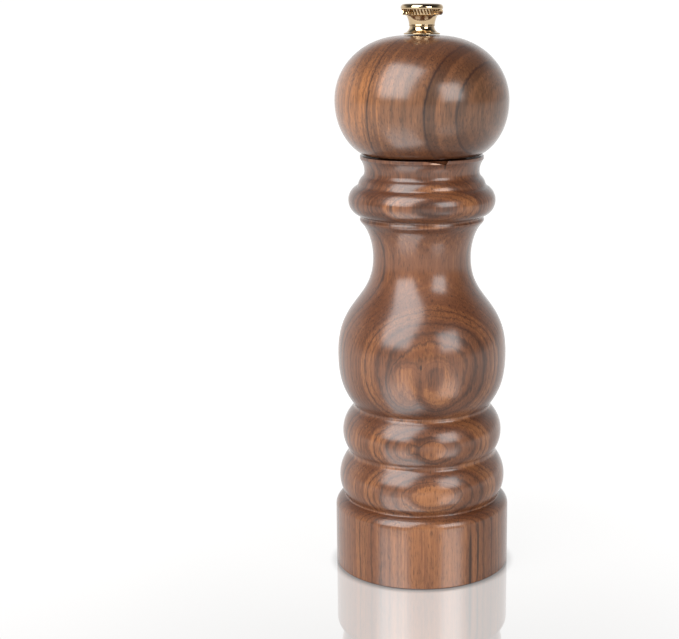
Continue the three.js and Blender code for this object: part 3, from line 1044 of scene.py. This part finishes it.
@dataclass
class WoodenBody:
    """The turned body, hollow for the pepper, with the grinder's bore below. Sizes in mm."""

    finishes: Finishes
    chip: Chip = field(default_factory=Chip)
    shoulder_z: float = 19.5
    grooves: tuple[Pair, ...] = ((24.6, 23.0), (23.2, 38.0), (21.5, 53.0))
    bulges: Triple = (1.0, 2.8, 3.2)  # of the shoulder and the two beads, below their grooves
    bulb: Pair = (26.9, 70.5)
    bulb_foot: Pair = (0.55, 4.4)  # part of the way out, and mm up, where the bulb starts to swell
    bulb_pull: Pair = (10.0, 17.0)  # mm below and above its widest place that shape its curve
    neck: Pair = (15.5, 101.2)
    neck_pull: Pair = (14.0, 5.0)
    flare: Pair = (18.3, 111.5)
    fillet: Pair = (19.6, 113.5)
    collar: tuple[Pair, ...] = ((19.0, 114.6), (20.1, 124.1))
    cove: Pair = (18.2, 127.3)
    recess: Pair = (22.5, 7.0)
    grinder_bore: Pair = (16.6, 19.2)
    chamber_foot: float = 13.0
    chamber: Pair = (12.0, 32.0)
    mouth: Pair = (14.0, 118.5)
    lip_r: float = 19.4
    mouth_chamfer: float = 0.6
    foot_chamfer: float = 0.5
    crease: float = 0.9

    def outline(self) -> list[Vector]:
        """Draws the body, up its outside and down its bores.

        Returns:
            The points of its closed outline.
        """
        low, high = box_mm("body")
        base_r = high.x
        last_r, last_z = self.grooves[-1]
        (bulb_r, bulb_z), (neck_r, neck_z) = self.bulb, self.neck
        (flare_r, flare_z), (mouth_r, mouth_z) = self.flare, self.mouth
        pen = Outline(base_r, low.z + self.foot_chamfer).line(base_r, self.shoulder_z, 4.0)
        for (r, z), bulge in zip(self.grooves, self.bulges):
            pen.arc(r, z, bulge).ease(self.crease)
        start = (between((last_r, bulb_r), self.bulb_foot[0]), last_z + self.bulb_foot[1])
        pen.sweep(start, (bulb_r, bulb_z - self.bulb_pull[0]), bulb_r, bulb_z)
        pen.sweep((bulb_r, bulb_z + self.bulb_pull[1]), (neck_r, neck_z - self.neck_pull[0]), neck_r, neck_z)
        pen.sweep((neck_r, neck_z + self.neck_pull[1]), (flare_r - 1.2, flare_z - 1.6), flare_r, flare_z)
        pen.sweep((flare_r + 0.9, flare_z + 1.1), (self.fillet[0], self.fillet[1] - 0.6), *self.fillet)
        pen.line(*self.collar[0]).ease(0.5).arc(*self.collar[1], 3.6).ease(0.6).arc(*self.cove, 0.4).ease(0.6)
        pen.arc(self.lip_r, high.z - 0.9, -0.6).line(self.lip_r, high.z, 0.25)
        pen.line(mouth_r + self.mouth_chamfer, high.z, 0.35).line(mouth_r, high.z - self.mouth_chamfer)
        pen.line(mouth_r, mouth_z).line(self.chamber[0], mouth_z).line(*self.chamber)
        pen.line(self.chamber_foot, self.grinder_bore[1]).line(*self.grinder_bore)
        pen.line(self.grinder_bore[0], self.recess[1]).line(*self.recess)
        pen.line(self.recess[0], low.z).line(base_r - self.foot_chamfer, low.z)
        pen.line(base_r, low.z + self.foot_chamfer)
        return pen.softened(0.3)

    def build(self) -> None:
        """Builds the body, with more sides where the lip is chipped."""
        first, last = self.chip.first - 1, self.chip.last + 1
        degrees = [a for a in (360 * i / TURNED_SIDES for i in range(TURNED_SIDES)) if not first <= a <= last]
        degrees += [first + 0.5 * i for i in range(int((last - first) / 0.5) + 1)]
        made = turned("walnut_body", self.outline(), [math.radians(a - 90) for a in sorted(degrees)])
        top = box_mm("body")[1].z
        for vertex in made.data.vertices:
            x, y, z = vertex.co / MM
            broken = self.chip.lowered(math.degrees(math.atan2(x, -y)), math.hypot(x, y))
            vertex.co.z = min(z, top - broken) * MM
        finish_piece(tidied(made), self.finishes.body_walnut, Body.STILL, Slot.WALNUT, "body")


@dataclass
class WoodenHead:
    """The turned head with the spigot that sits in the body. Sizes in mm."""

    finishes: Finishes
    seam: Pair = (18.5, 133.9)
    seam_pull: Pair = (4.0, 2.0)  # mm out and up that the ball starts with
    widest: Pair = (27.1, 150.5)
    widest_pull: Pair = (9.0, 10.0)  # mm below and above that shape the ball
    crown_r: float = 6.0
    crown_pull: Pair = (13.0, 0.5)  # mm out and down from the crown's edge
    bore_r: float = 4.2
    spigot_r: float = 13.6

    def build(self) -> None:
        """Builds the head."""
        low, high = box_mm("head")
        (seam_r, seam_z), (wide_r, wide_z) = self.seam, self.widest
        pen = Outline(self.bore_r, low.z).line(self.spigot_r, low.z)
        pen.line(self.spigot_r, seam_z).line(seam_r, seam_z)
        start = (seam_r + self.seam_pull[0], seam_z + self.seam_pull[1])
        pen.sweep(start, (wide_r, wide_z - self.widest_pull[0]), wide_r, wide_z)
        end = (self.crown_r + self.crown_pull[0], high.z - self.crown_pull[1])
        pen.sweep((wide_r, wide_z + self.widest_pull[1]), end, self.crown_r, high.z)
        pen.line(self.bore_r, high.z).line(self.bore_r, low.z)
        made = turned("walnut_head", pen.softened(0.35), even_angles(TURNED_SIDES))
        finish_piece(made, self.finishes.head_walnut, Body.HEAD, Slot.WALNUT, "head")


# --- Brass nut -------------------------------------------------------------------------------


@dataclass
class BrassNut:
    """The adjusting nut: foot, waist and a cap knurled round its lower edge. Sizes in mm."""

    finishes: Finishes
    copies: CopiesRoundAxis
    foot_r: float = 5.65
    foot_lip: float = 0.4
    waist_r: float = 3.85
    waist_foot: float = 2.3
    rib: Triple = (7.0, 6.8, 6.5)  # below the crown: foot, crest and top of the rib over the waist
    neck_r: float = 4.7
    neck_drop: float = 4.0
    cap_r: float = 6.58
    cap_drops: tuple[float, ...] = (3.6, 1.95, 1.85, 0.3)  # below the crown: band's foot and top, rim, edge
    bore_r: float = 2.8
    bore_depth: float = 7.4
    knurls: int = 36
    knurl_size: Triple = (1.25, 0.54, 2.0)
    knurl_sink: float = 0.76  # mm that the ridges' middle lies inside the rim
    knurl_drop: float = 2.75  # and below the crown
    knurl_lean: float = 8.0  # degrees
    knurl_slant: float = 24.0

    def outline(self) -> list[Vector]:
        """Draws the nut.

        Returns:
            The points of its outline, from the bore's foot out and over the crown.
        """
        base, crown = levels_mm("adjusting_nut")
        foot, waist, cap, lip = self.foot_r, self.waist_r, self.cap_r, base + self.foot_lip
        rib_foot, rib_crest, rib_top = (crown - drop for drop in self.rib)
        band_foot, band_top, rim, edge = (crown - drop for drop in self.cap_drops)
        pen = Outline(self.bore_r, base).line(foot, base).line(foot, lip)
        pen.line(foot - 0.35, lip + 0.1).arc(waist, base + self.waist_foot, -0.35)
        pen.line(waist, rib_foot, 0.4).line(waist + 0.28, rib_crest)
        pen.line(waist + 0.12, rib_top).arc(self.neck_r, crown - self.neck_drop, -0.12)
        pen.line(cap - 1.05, band_foot).line(cap - 0.95, band_top)
        pen.line(cap - 0.1, rim).arc(cap - 1.2, edge, 0.5)
        pen.arc(0.0, crown, 0.07).line(0.0, base + self.bore_depth)
        pen.line(self.bore_r, base + self.bore_depth).line(self.bore_r, base)
        return [p for p in pen.softened(0.12) if p.x > -1e-6]

    def knurl(self) -> Piece:
        """Makes one ridge of the knurling, a leaf with a rounded crest.

        Returns:
            The ridge, lying on the cap's lower edge at angle 0.
        """
        deep, wide, tall = self.knurl_size
        half = Outline(0.0, -tall / 2).arc(0.0, tall / 2, wide / 2).points
        points = [Vector((0.0, p.x * side, p.y)) for side in (-1, 1) for p in half]
        swells = [math.sqrt(max(0.0, 1 - (2 * p.y / tall) ** 2)) for p in half]
        points += [Vector((deep / 2 * out, 0.0, p.y)) for out, p in zip(swells, half)]
        n = len(half)
        faces = []
        for left in range(n - 1):
            right, crest = n + left, 2 * n + left
            faces.append((left, left + 1, crest + 1, crest))
            faces.append((right + 1, right, crest, crest + 1))
            faces.append((left + 1, left, right, right + 1))
        ridge = mesh_object("nut_knurling", points, faces)
        lean = Matrix.Rotation(math.radians(self.knurl_lean), 4, "Y")
        slant = Matrix.Rotation(math.radians(self.knurl_slant), 4, "X")
        spot = Vector((self.cap_r - self.knurl_sink, 0.0, levels_mm("adjusting_nut")[1] - self.knurl_drop))
        ridge.data.transform(Matrix.Translation(spot * MM) @ lean @ slant)
        return ridge

    def build(self) -> None:
        """Builds the nut and its knurling."""
        nut = turned("brass_nut", self.outline(), even_angles(SMALL_SIDES))
        finish_piece(nut, self.finishes.brass, Body.NUT, Slot.BRASS, "adjusting_nut")
        knurl = self.knurl()
        self.copies.apply(knurl, self.finishes.brass, round_steps(self.knurls))
        finish_piece(knurl, self.finishes.brass, Body.NUT, Slot.BRASS)


# --- Spindle and grinder ---------------------------------------------------------------------


@dataclass
class Spindle:
    """The square bar with its journal, threaded tip and what it carries. Sizes in mm."""

    finishes: Finishes
    side: float = 5.0
    corner_r: float = 3.36
    journal_r: float = 2.3
    journal_top: float = 8.6
    square_top: float = 168.4
    thread_r: float = 2.45
    thread_depth: float = 0.42
    pitch: float = 0.8
    clip_r: Pair = (2.6, 5.0)
    clip_gap: float = 3.6
    seat_r: Pair = (3.9, 6.2)

    def radius(self, angle: float, z: float, foot: float, tip: float) -> float:
        """Gives the bar's radius.

        Args:
            angle: Where round the bar.
            z: Height.
            foot: Height of the bar's lower end.
            tip: Height of its upper end.

        Returns:
            The radius in millimetres.
        """
        if z <= self.journal_top:
            return self.journal_r - max(0.0, foot + 0.5 - z)
        if z <= self.square_top:
            return min(square_radius(self.side, angle), self.corner_r)
        turn = fraction((z - self.square_top) / self.pitch - angle / (2 * math.pi))
        groove = self.thread_depth * (1 - abs(2 * turn - 1))
        return min(self.thread_r, self.thread_r + tip - 0.6 - z) - groove

    def build(self) -> None:
        """Builds the bar, the clip under the rotor and the spring's washer."""
        low, high = box_mm("spindle")
        heights = [low.z, low.z + 0.5, 5.0, self.journal_top, self.journal_top + 0.02]
        heights += [20.0 + 20.0 * i for i in range(8)] + [self.square_top]
        step = self.pitch / 8
        count = int((high.z - self.square_top) / step)
        heights += [self.square_top + 0.02 + step * i for i in range(count)]
        bar = walled("spindle_bar", lambda a, z: self.radius(a, z, low.z, high.z), None, heights, 72)
        finish_piece(bar, self.finishes.drawn_bar, Body.SPINDLE, Slot.STAINLESS, "spindle")

        foot, top = levels_mm("rotor_clip")
        clip = ring("rotor_clip_e", self.clip_r, foot, top, 0.15)
        outer = self.clip_r[1]
        gap = block("clip_gap", (outer + 1, self.clip_gap, 3.0), (outer, 0.0, (foot + top) / 2))
        worked(clip, cuts=[gap])
        finish_piece(clip, self.finishes.spring, Body.SPINDLE, Slot.SPRING, "rotor_clip")

        foot, top = levels_mm("spring_seat")
        washer = ring("spring_seat_washer", self.seat_r, foot, top, 0.15)
        finish_piece(washer, self.finishes.stainless, Body.SPINDLE, Slot.STAINLESS, "spring_seat")


@dataclass
class Grinder:
    """The toothed ring and the fluted cone inside it. Sizes in mm."""

    finishes: Finishes
    stator_r: float = 16.3
    stator_bore: Pair = (13.8, 11.8)
    stator_teeth: int = 24
    stator_depth: float = 0.9
    stator_edge: float = 0.3
    tooth_front: float = 0.06
    tooth_fall: float = 0.8
    rotor_r: Pair = (13.0, 9.9)
    rotor_teeth: int = 12
    fine_depth: float = 0.8
    feed_depth: float = 3.0
    stator_twist: tuple[int, int] = (0, 5)
    rotor_twist: tuple[int, int] = (22, 0)
    square: float = 5.6

    def tooth(self, angle: float, teeth: int) -> float:
        """Gives a saw tooth's depth at an angle, from 0 at its edge to 1 at its root."""
        part, steep = fraction(angle * teeth / (2 * math.pi)), self.tooth_front
        return (1 - max(part, steep)) ** self.tooth_fall * min(1.0, part / steep)

    def stator(self) -> None:
        """Builds the stator, its bore narrower towards the top."""
        base, top = levels_mm("stator")

        def bore(angle: float, z: float) -> float:
            """Gives the radius of the toothed bore."""
            edge = between(self.stator_bore, (z - base) / (top - base))
            return edge + self.stator_depth * self.tooth(angle, self.stator_teeth)

        def wall(angle: float, z: float) -> float:
            """Gives the outer radius, with its edges broken."""
            return self.stator_r - self.stator_edge * (z in (base, top))

        edge = self.stator_edge
        levels = [base, base + edge] + [between((base, top), i / 8) for i in range(1, 8)] + [top - edge, top]
        made = walled("toothed_stator", wall, bore, levels, 12 * self.stator_teeth, self.stator_twist)
        finish_piece(made, self.finishes.grinder, Body.STILL, Slot.GRINDER, "stator")

    def rotor(self) -> None:
        """Builds the rotor, its flutes deeper towards the top."""
        foot, top = levels_mm("rotor")

        def wall(angle: float, z: float) -> float:
            """Gives the radius of the fluted cone.

            Args:
                angle: Where round the cone.
                z: Height.

            Returns:
                The radius in millimetres.
            """
            up = (z - foot) / (top - foot)
            depth = between((self.fine_depth, self.feed_depth), up**2)
            return between(self.rotor_r, up) - depth * self.tooth(angle, self.rotor_teeth)

        levels = [between((foot, top), i / 16) for i in range(17)]
        made = walled("fluted_rotor", wall, lambda a, z: square_radius(self.square, a), levels,
                      24 * self.rotor_teeth, self.rotor_twist)
        finish_piece(made, self.finishes.grinder, Body.SPINDLE, Slot.GRINDER, "rotor")

    def build(self) -> None:
        """Builds the stator and the rotor."""
        self.stator()
        self.rotor()


@dataclass
class Bearing:
    """The arched bridge, the bush that turns in it and the spring below. Sizes in mm."""

    finishes: Finishes
    copies: CopiesRoundAxis
    rim_r: Pair = (11.8, 16.3)
    rim_thickness: float = 1.6
    hub_r: float = 7.0
    hub_height: float = 2.8
    hole_r: float = 5.2
    arm_width: float = 4.0
    arm_thickness: float = 1.6
    arm_foot_r: float = 12.4
    arm_knee_r: float = 9.2
    arm_top_r: float = 6.2
    sleeve_r: float = 4.9
    flange_r: float = 6.2
    flange_height: float = 1.0
    coil_r: float = 4.9
    wire_r: float = 0.45
    turns: float = 4.5
    square: float = 5.6

    def bridge(self) -> None:
        """Builds the bridge: a rim, three arms and a hub in one stamping."""
        low, high = box_mm("bridge")
        top = low.z + self.rim_thickness
        rim = ring("arched_bridge", self.rim_r, low.z, top, 0.2)
        hub = disc("bridge_hub", self.hub_r, high.z - self.hub_height, high.z)
        thick, knee = self.arm_thickness, high.z - 0.4
        side = [(self.arm_foot_r, low.z), (self.arm_foot_r, top), (self.arm_knee_r, knee),
                (self.arm_top_r, high.z), (self.arm_top_r, high.z - thick),
                (self.arm_knee_r - 1.0, knee - thick), (self.arm_foot_r - thick, low.z)]
        corners = [Vector((x, -self.arm_width / 2, z)) for x, z in side]
        arm = prism("bridge_arm", corners, Vector((0.0, self.arm_width, 0.0)))
        self.copies.apply(arm, self.finishes.stainless, round_steps(3, 30.0))
        hole = disc("bridge_hole", self.hole_r, low.z, high.z + 1)
        worked(rim, cuts=[hole], joins=[hub, arm], edge=0.25)
        finish_piece(rim, self.finishes.stainless, Body.STILL, Slot.STAINLESS, "bridge")

    def bush(self) -> None:
        """Builds the flanged bush with its square bore."""
        low, high = box_mm("spindle_bush")
        top = low.z + self.flange_height
        pen = Outline(0.0, low.z).line(self.flange_r, low.z).line(self.flange_r, top)
        pen.line(self.sleeve_r, top).line(self.sleeve_r, high.z).line(0.0, high.z)
        bush = turned("nylon_bush", pen.softened(0.25), even_angles(SMALL_SIDES))
        bore = block("bush_bore", (self.square, self.square, 20.0), (0.0, 0.0, low.z))
        worked(bush, cuts=[bore])
        finish_piece(bush, self.finishes.nylon, Body.BUSH, Slot.NYLON, "spindle_bush")

    def spring(self) -> None:
        """Builds the coil spring, its end turns closed, stretched between the bush and the rotor."""
        low, high = box_mm("spring")
        wire, turns, closed_turns = self.wire_r, self.turns, 0.8
        steps, sides = int(48 * turns), 14
        points = []
        for i in range(steps + 1):
            at = turns * i / steps
            ease = min(1.0, max(0.0, (at - closed_turns) / (turns - 2 * closed_turns)))
            closed = 2 * wire * (min(at, closed_turns) + max(0.0, at - (turns - closed_turns)))
            z = low.z + wire + closed + (high.z - low.z - (2 + 4 * closed_turns) * wire) * ease
            out = Vector((math.cos(2 * math.pi * at), math.sin(2 * math.pi * at), 0.0))
            for j in range(sides):
                a = 2 * math.pi * j / sides
                up = Vector((0.0, 0.0, z + wire * math.sin(a)))
                points.append(out * (self.coil_r + wire * math.cos(a)) + up)
        ends = [tuple(range(sides)), tuple(range(steps * sides, (steps + 1) * sides))]
        coil = mesh_object("coil_spring", points, bands(0, steps + 1, sides) + ends)
        coil.data.materials.append(self.finishes.spring)
        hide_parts("spring")
        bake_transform(coil)
        log.info("%s: %d faces, stretches between bush and spindle", coil.name, len(coil.data.polygons))

    def build(self) -> None:
        """Builds the bridge, bush and spring."""
        self.bridge()
        self.bush()
        self.spring()


# --- Screws and plates -----------------------------------------------------------------------


@dataclass
class WoodScrew:
    """A pan-head wood screw with a cross recess, pointing up. Sizes in mm."""

    head_r: float
    head_height: float
    shank_r: float
    radius: float
    recess: Triple = (2.4, 0.55, 1.6)
    pitch: float = 1.1
    point: float = 2.6

    def make(self, name: str, low: float, high: float) -> Piece:
        """Makes one screw at angle 0.

        Args:
            name: The object's name.
            low: Height of the crown of its head.
            high: Height of its tip.

        Returns:
            The screw.
        """
        seat = low + self.head_height
        pen = Outline(0.0, low).arc(self.head_r - 0.1, low + 0.7, 0.18).line(self.head_r, seat - 0.35)
        pen.line(self.head_r - 0.15, seat).line(0.0, seat)
        screw = turned(name, pen.softened(0.12), even_angles(48))
        long, wide, deep = self.recess
        sizes = ((long, wide, deep), (wide, long, deep))
        worked(screw, cuts=[block("recess", size, (0.0, 0.0, low)) for size in sizes])

        def shank(angle: float, z: float) -> float:
            """Gives the radius of the threaded shank, tapering to its point.

            Args:
                angle: Where round the shank.
                z: Height.

            Returns:
                The radius in millimetres.
            """
            taper = min(1.0, (high - z) / self.point + 0.05)
            ridge = abs(2 * fraction(z / self.pitch - angle / (2 * math.pi)) - 1) ** 2
            return self.shank_r * taper * between((0.74, 1.0), ridge)

        levels = [seat - 0.05] + [between((seat, high), i / 72) for i in range(1, 73)]
        worked(screw, joins=[walled("shank", shank, None, levels, 24)])
        screw.data.transform(Matrix.Translation(Vector((self.radius, 0.0, 0.0)) * MM))
        return screw

    def holes(self, hole_r: float, degrees: Iterable[float], middle: float) -> list[Piece]:
        """Makes the cutters of the holes that the screws go through.

        Args:
            hole_r: Radius of a hole.
            degrees: Where the holes stand.
            middle: Height of the middle of the plate.

        Returns:
            One cutter for each hole.
        """
        cutters = []
        for angle in degrees:
            cutter = disc("hole", hole_r, middle - CUT_REACH, middle + CUT_REACH, 32)
            spot = Matrix.Rotation(math.radians(angle), 4, "Z") @ Vector((self.radius, 0.0, 0.0))
            cutter.data.transform(Matrix.Translation(spot * MM))
            cutters.append(cutter)
        return cutters

    def set_in(self, name: str, node: str, body: Body, degrees: Sequence[float], copies: CopiesRoundAxis,
               zinc: Material) -> None:
        """Builds a set of screws as one piece.

        Args:
            name: The piece's name.
            node: The CAD nodes' name without its number.
            body: The body that they are screwed into.
            degrees: Where they stand.
            copies: Sets copies round the axis.
            zinc: What they are plated with.
        """
        made = self.make(name, *levels_mm(f"{node}_1"))
        copies.apply(made, zinc, degrees)
        finish_piece(made, zinc, body, Slot.SCREW, *(f"{node}_{i + 1}" for i in range(len(degrees))))


@dataclass
class BaseHardware:
    """The ring and the crossbar under the grinder, with their screws. Sizes in mm."""

    finishes: Finishes
    copies: CopiesRoundAxis
    screw: WoodScrew = field(default_factory=lambda: WoodScrew(2.4, 1.5, 1.2, 19.0))
    ring_r: Pair = (14.6, 22.2)
    bar: Pair = (43.0, 8.0)
    bearing_r: float = 2.7
    hole_r: float = 1.5
    ring_angles: tuple[float, ...] = (90.0, 210.0, 330.0)
    bar_angles: tuple[float, ...] = (0.0, 180.0)

    def retaining_ring(self) -> None:
        """Builds the ring, with holes for its own screws and the crossbar's."""
        low, high = levels_mm("retaining_ring")
        plate = ring("steel_retaining_ring", self.ring_r, low, high, 0.02, TURNED_SIDES)
        holes = self.screw.holes(self.hole_r, (*self.ring_angles, *self.bar_angles), (low + high) / 2)
        worked(plate, cuts=holes, edge=0.22)
        finish_piece(plate, self.finishes.stainless, Body.STILL, Slot.STAINLESS, "retaining_ring")

    def crossbar(self) -> None:
        """Builds the crossbar: a strap with round ends and the spindle's lower bearing hole."""
        low, high = levels_mm("crossbar")
        middle = (low + high) / 2
        half, round_r = self.bar[0] / 2, self.bar[1] / 2
        strap = []
        for end, start in ((half - round_r, -math.pi / 2), (round_r - half, math.pi / 2)):
            for i in range(25):
                a = start + math.pi * i / 24
                strap.append(Vector((end + round_r * math.cos(a), round_r * math.sin(a), low)))
        bar = prism("steel_crossbar", strap, Vector((0.0, 0.0, high - low)))
        bearing = disc("bearing", self.bearing_r, middle - CUT_REACH, middle + CUT_REACH, 64)
        worked(bar, cuts=[bearing, *self.screw.holes(self.hole_r, self.bar_angles, middle)], edge=0.25)
        finish_piece(bar, self.finishes.stainless, Body.STILL, Slot.STAINLESS, "crossbar")

    def build(self) -> None:
        """Builds the ring, the crossbar and five screws."""
        self.retaining_ring()
        self.crossbar()
        for node, angles in (("ring_screw", self.ring_angles), ("crossbar_screw", self.bar_angles)):
            self.screw.set_in(f"{node}s", node, Body.STILL, angles, self.copies, self.finishes.zinc)


@dataclass
class DrivePlate:
    """The plate with the square hole under the head's spigot, with three screws. Sizes in mm."""

    finishes: Finishes
    copies: CopiesRoundAxis
    screw: WoodScrew = field(default_factory=lambda: WoodScrew(2.1, 1.3, 1.1, 9.2))
    plate_r: float = 12.8
    square: float = 5.6
    hole_r: float = 1.4
    angles: tuple[float, ...] = (90.0, 210.0, 330.0)

    def build(self) -> None:
        """Builds the plate and its screws."""
        low, high = levels_mm("drive_plate")
        middle = (low + high) / 2
        plate = disc("square_hole_drive_plate", self.plate_r, low, high, TURNED_SIDES)
        square = block("square", (self.square, self.square, 2 * CUT_REACH), (0.0, 0.0, middle))
        worked(plate, cuts=[square, *self.screw.holes(self.hole_r, self.angles, middle)], edge=0.15)
        finish_piece(plate, self.finishes.stainless, Body.HEAD, Slot.STAINLESS, "drive_plate")
        self.screw.set_in("drive_plate_screws", "drive_plate_screw", Body.HEAD, self.angles, self.copies,
                          self.finishes.zinc)


# --- Studio ----------------------------------------------------------------------------------


@dataclass(frozen=True)
class Softbox:
    """A soft light: its direction from the mill in degrees, distance, size and power in SI units."""

    name: str
    azimuth: float
    elevation: float
    distance: float
    size: Pair
    power: float


@dataclass
class Studio:
    """A white table, two softboxes in front and a camera. Sizes in metres, the table's in mm."""

    boxes: tuple[Softbox, ...] = (
        Softbox("softbox_left", -38.0, 42.0, 1.1, (0.82, 1.25), 22.0),
        Softbox("softbox_right", 40.0, 22.0, 1.3, (0.62, 0.68), 9.0),
    )
    aim: Triple = (0.0, 0.0, 0.09)
    eye: Triple = (0.0, -0.4581, 0.18125)
    look_down: float = 12.37
    lens: float = 77.6
    sideways: float = -0.1214
    table_half: float = 3000.0
    table_z: float = -0.05

    def camera(self) -> None:
        """Sets the camera at the viewing angle: a little above the nut, looking down."""
        data = bpy.data.cameras.new("camera")
        data.lens, data.shift_x = self.lens, self.sideways
        data.clip_start = 0.01
        made = bpy.data.objects.new("camera", data)
        made.location = self.eye
        made.rotation_euler = (math.radians(90 - self.look_down), 0, 0)
        bpy.context.scene.collection.objects.link(made)
        bpy.context.scene.camera = made

    def lights(self) -> None:
        """Sets the softboxes and the pale room round the table."""
        for box in self.boxes:
            data = bpy.data.lights.new(box.name, "AREA")
            data.shape = "RECTANGLE"
            data.size, data.size_y = box.size
            data.energy = box.power
            made = bpy.data.objects.new(box.name, data)
            azimuth, elevation = math.radians(box.azimuth), math.radians(box.elevation)
            level = math.cos(elevation)
            out = Vector((math.sin(azimuth) * level, -math.cos(azimuth) * level, math.sin(elevation)))
            made.location = Vector(self.aim) + out * box.distance
            made.rotation_euler = out.to_track_quat("Z", "Y").to_euler()
            bpy.context.scene.collection.objects.link(made)
        self.room()

    def room(self) -> None:
        """Builds the pale room, which lights the mill mostly from behind."""
        world = bpy.data.worlds.new("pale_room")
        world.use_nodes = True
        world.node_tree.nodes.clear()
        add = partial(add_node, world.node_tree)
        way = add("ShaderNodeSeparateXYZ", {"Vector": add(COORDS)["Generated"]})
        # Bright at the back, dark overhead, a little darker on the right.
        light = ROOM_GLOW
        for axis, near, far, start, end, ease in (
            ("Y", -0.1, 0.5, 0.16 / ROOM_GLOW, 1.0, "SMOOTHSTEP"),
            ("Z", 0.3, 0.6, 1.0, 0.2, "SMOOTHSTEP"),
            ("X", 0.4, 0.9, 1.0, 0.45, "LINEAR"),
        ):
            values = {"Value": way[axis], "From Min": near, "From Max": far, "To Min": start, "To Max": end}
            share = add(RANGE, values, interpolation_type=ease)[0]
            light = add(MATH, {0: share, 1: light}, operation="MULTIPLY")[0]
        # The room itself is seen plain and pale all round.
        seen = add("ShaderNodeLightPath")["Is Camera Ray"]
        glow = add(MIX, {"Factor": seen, 2: light, 3: ROOM_GLOW})[0]
        shown = add("ShaderNodeBackground", {"Color": (1, 1, 1, 1), "Strength": glow})[0]
        add("ShaderNodeOutputWorld", {"Surface": shown})
        bpy.context.scene.world = world

    def table(self) -> None:
        """Lays the glossy white table top, matt and glowing further off."""
        half, z = self.table_half, self.table_z
        corners = [Vector((x, y, z)) for x, y in ((-half, -half), (half, -half), (half, half), (-half, half))]
        top = mesh_object("table_top", corners, [(0, 1, 2, 3)])
        material, add = new_material("gloss_white_table")
        away = add(VECTORS, {0: add(COORDS)["Object"]}, operation="LENGTH")["Value"]
        # The glow is held back in a thin ring round the mill's foot, which paints a contact shadow and lets
        # the faint real one show.
        shares = {}
        for name, near, far, start, end, ease in (
            ("roughness", 0.085, 0.3, 0.04, 0.6, "LINEAR"),
            ("gloss", 0.09, 0.4, 1.0, 0.0, "SMOOTHSTEP"),
            ("glow", 0.06, 0.36, 0.45, 1.0, "SMOOTHSTEP"),
            # foot: the glow held back just round the mill's foot, a painted contact shadow
            ("foot", 0.0276, 0.031, 0.45, 1.0, "SMOOTHSTEP"),
        ):
            values = {"Value": away, "From Min": near, "From Max": far, "To Min": start, "To Max": end}
            shares[name] = add(RANGE, values, interpolation_type=ease)[0]
        # The glow, darkened round the foot as a painted contact shadow.
        glow = add(MATH, {0: shares["glow"], 1: shares["foot"]}, operation="MULTIPLY")[0]
        shader = add(SHADER, {
            "Base Color": linear("5d5c5b"),
            "Roughness": shares["roughness"],
            "IOR": 3.0,
            "Specular IOR Level": shares["gloss"],
            "Emission Color": linear("fffefd"),
            "Emission Strength": glow,
        })
        add(OUTPUT, {"Surface": shader[0]})
        top.data.materials.append(material)

    def build(self) -> None:
        """Builds the studio."""
        self.camera()
        self.lights()
        self.table()
        bpy.context.scene.view_settings.view_transform = "Standard"


def main() -> None:
    """Builds the studio and the mill, piece by piece."""
    logging.basicConfig(level=logging.INFO, format="%(name)s: %(message)s")
    Studio().build()
    finishes = Finishes()
    copies = CopiesRoundAxis()
    for maker in (
        WoodenBody(finishes),
        WoodenHead(finishes),
        BrassNut(finishes, copies),
        Spindle(finishes),
        Grinder(finishes),
        Bearing(finishes, copies),
        BaseHardware(finishes, copies),
        DrivePlate(finishes, copies),
    ):
        maker.build()


if __name__ == "__main__":
    main()
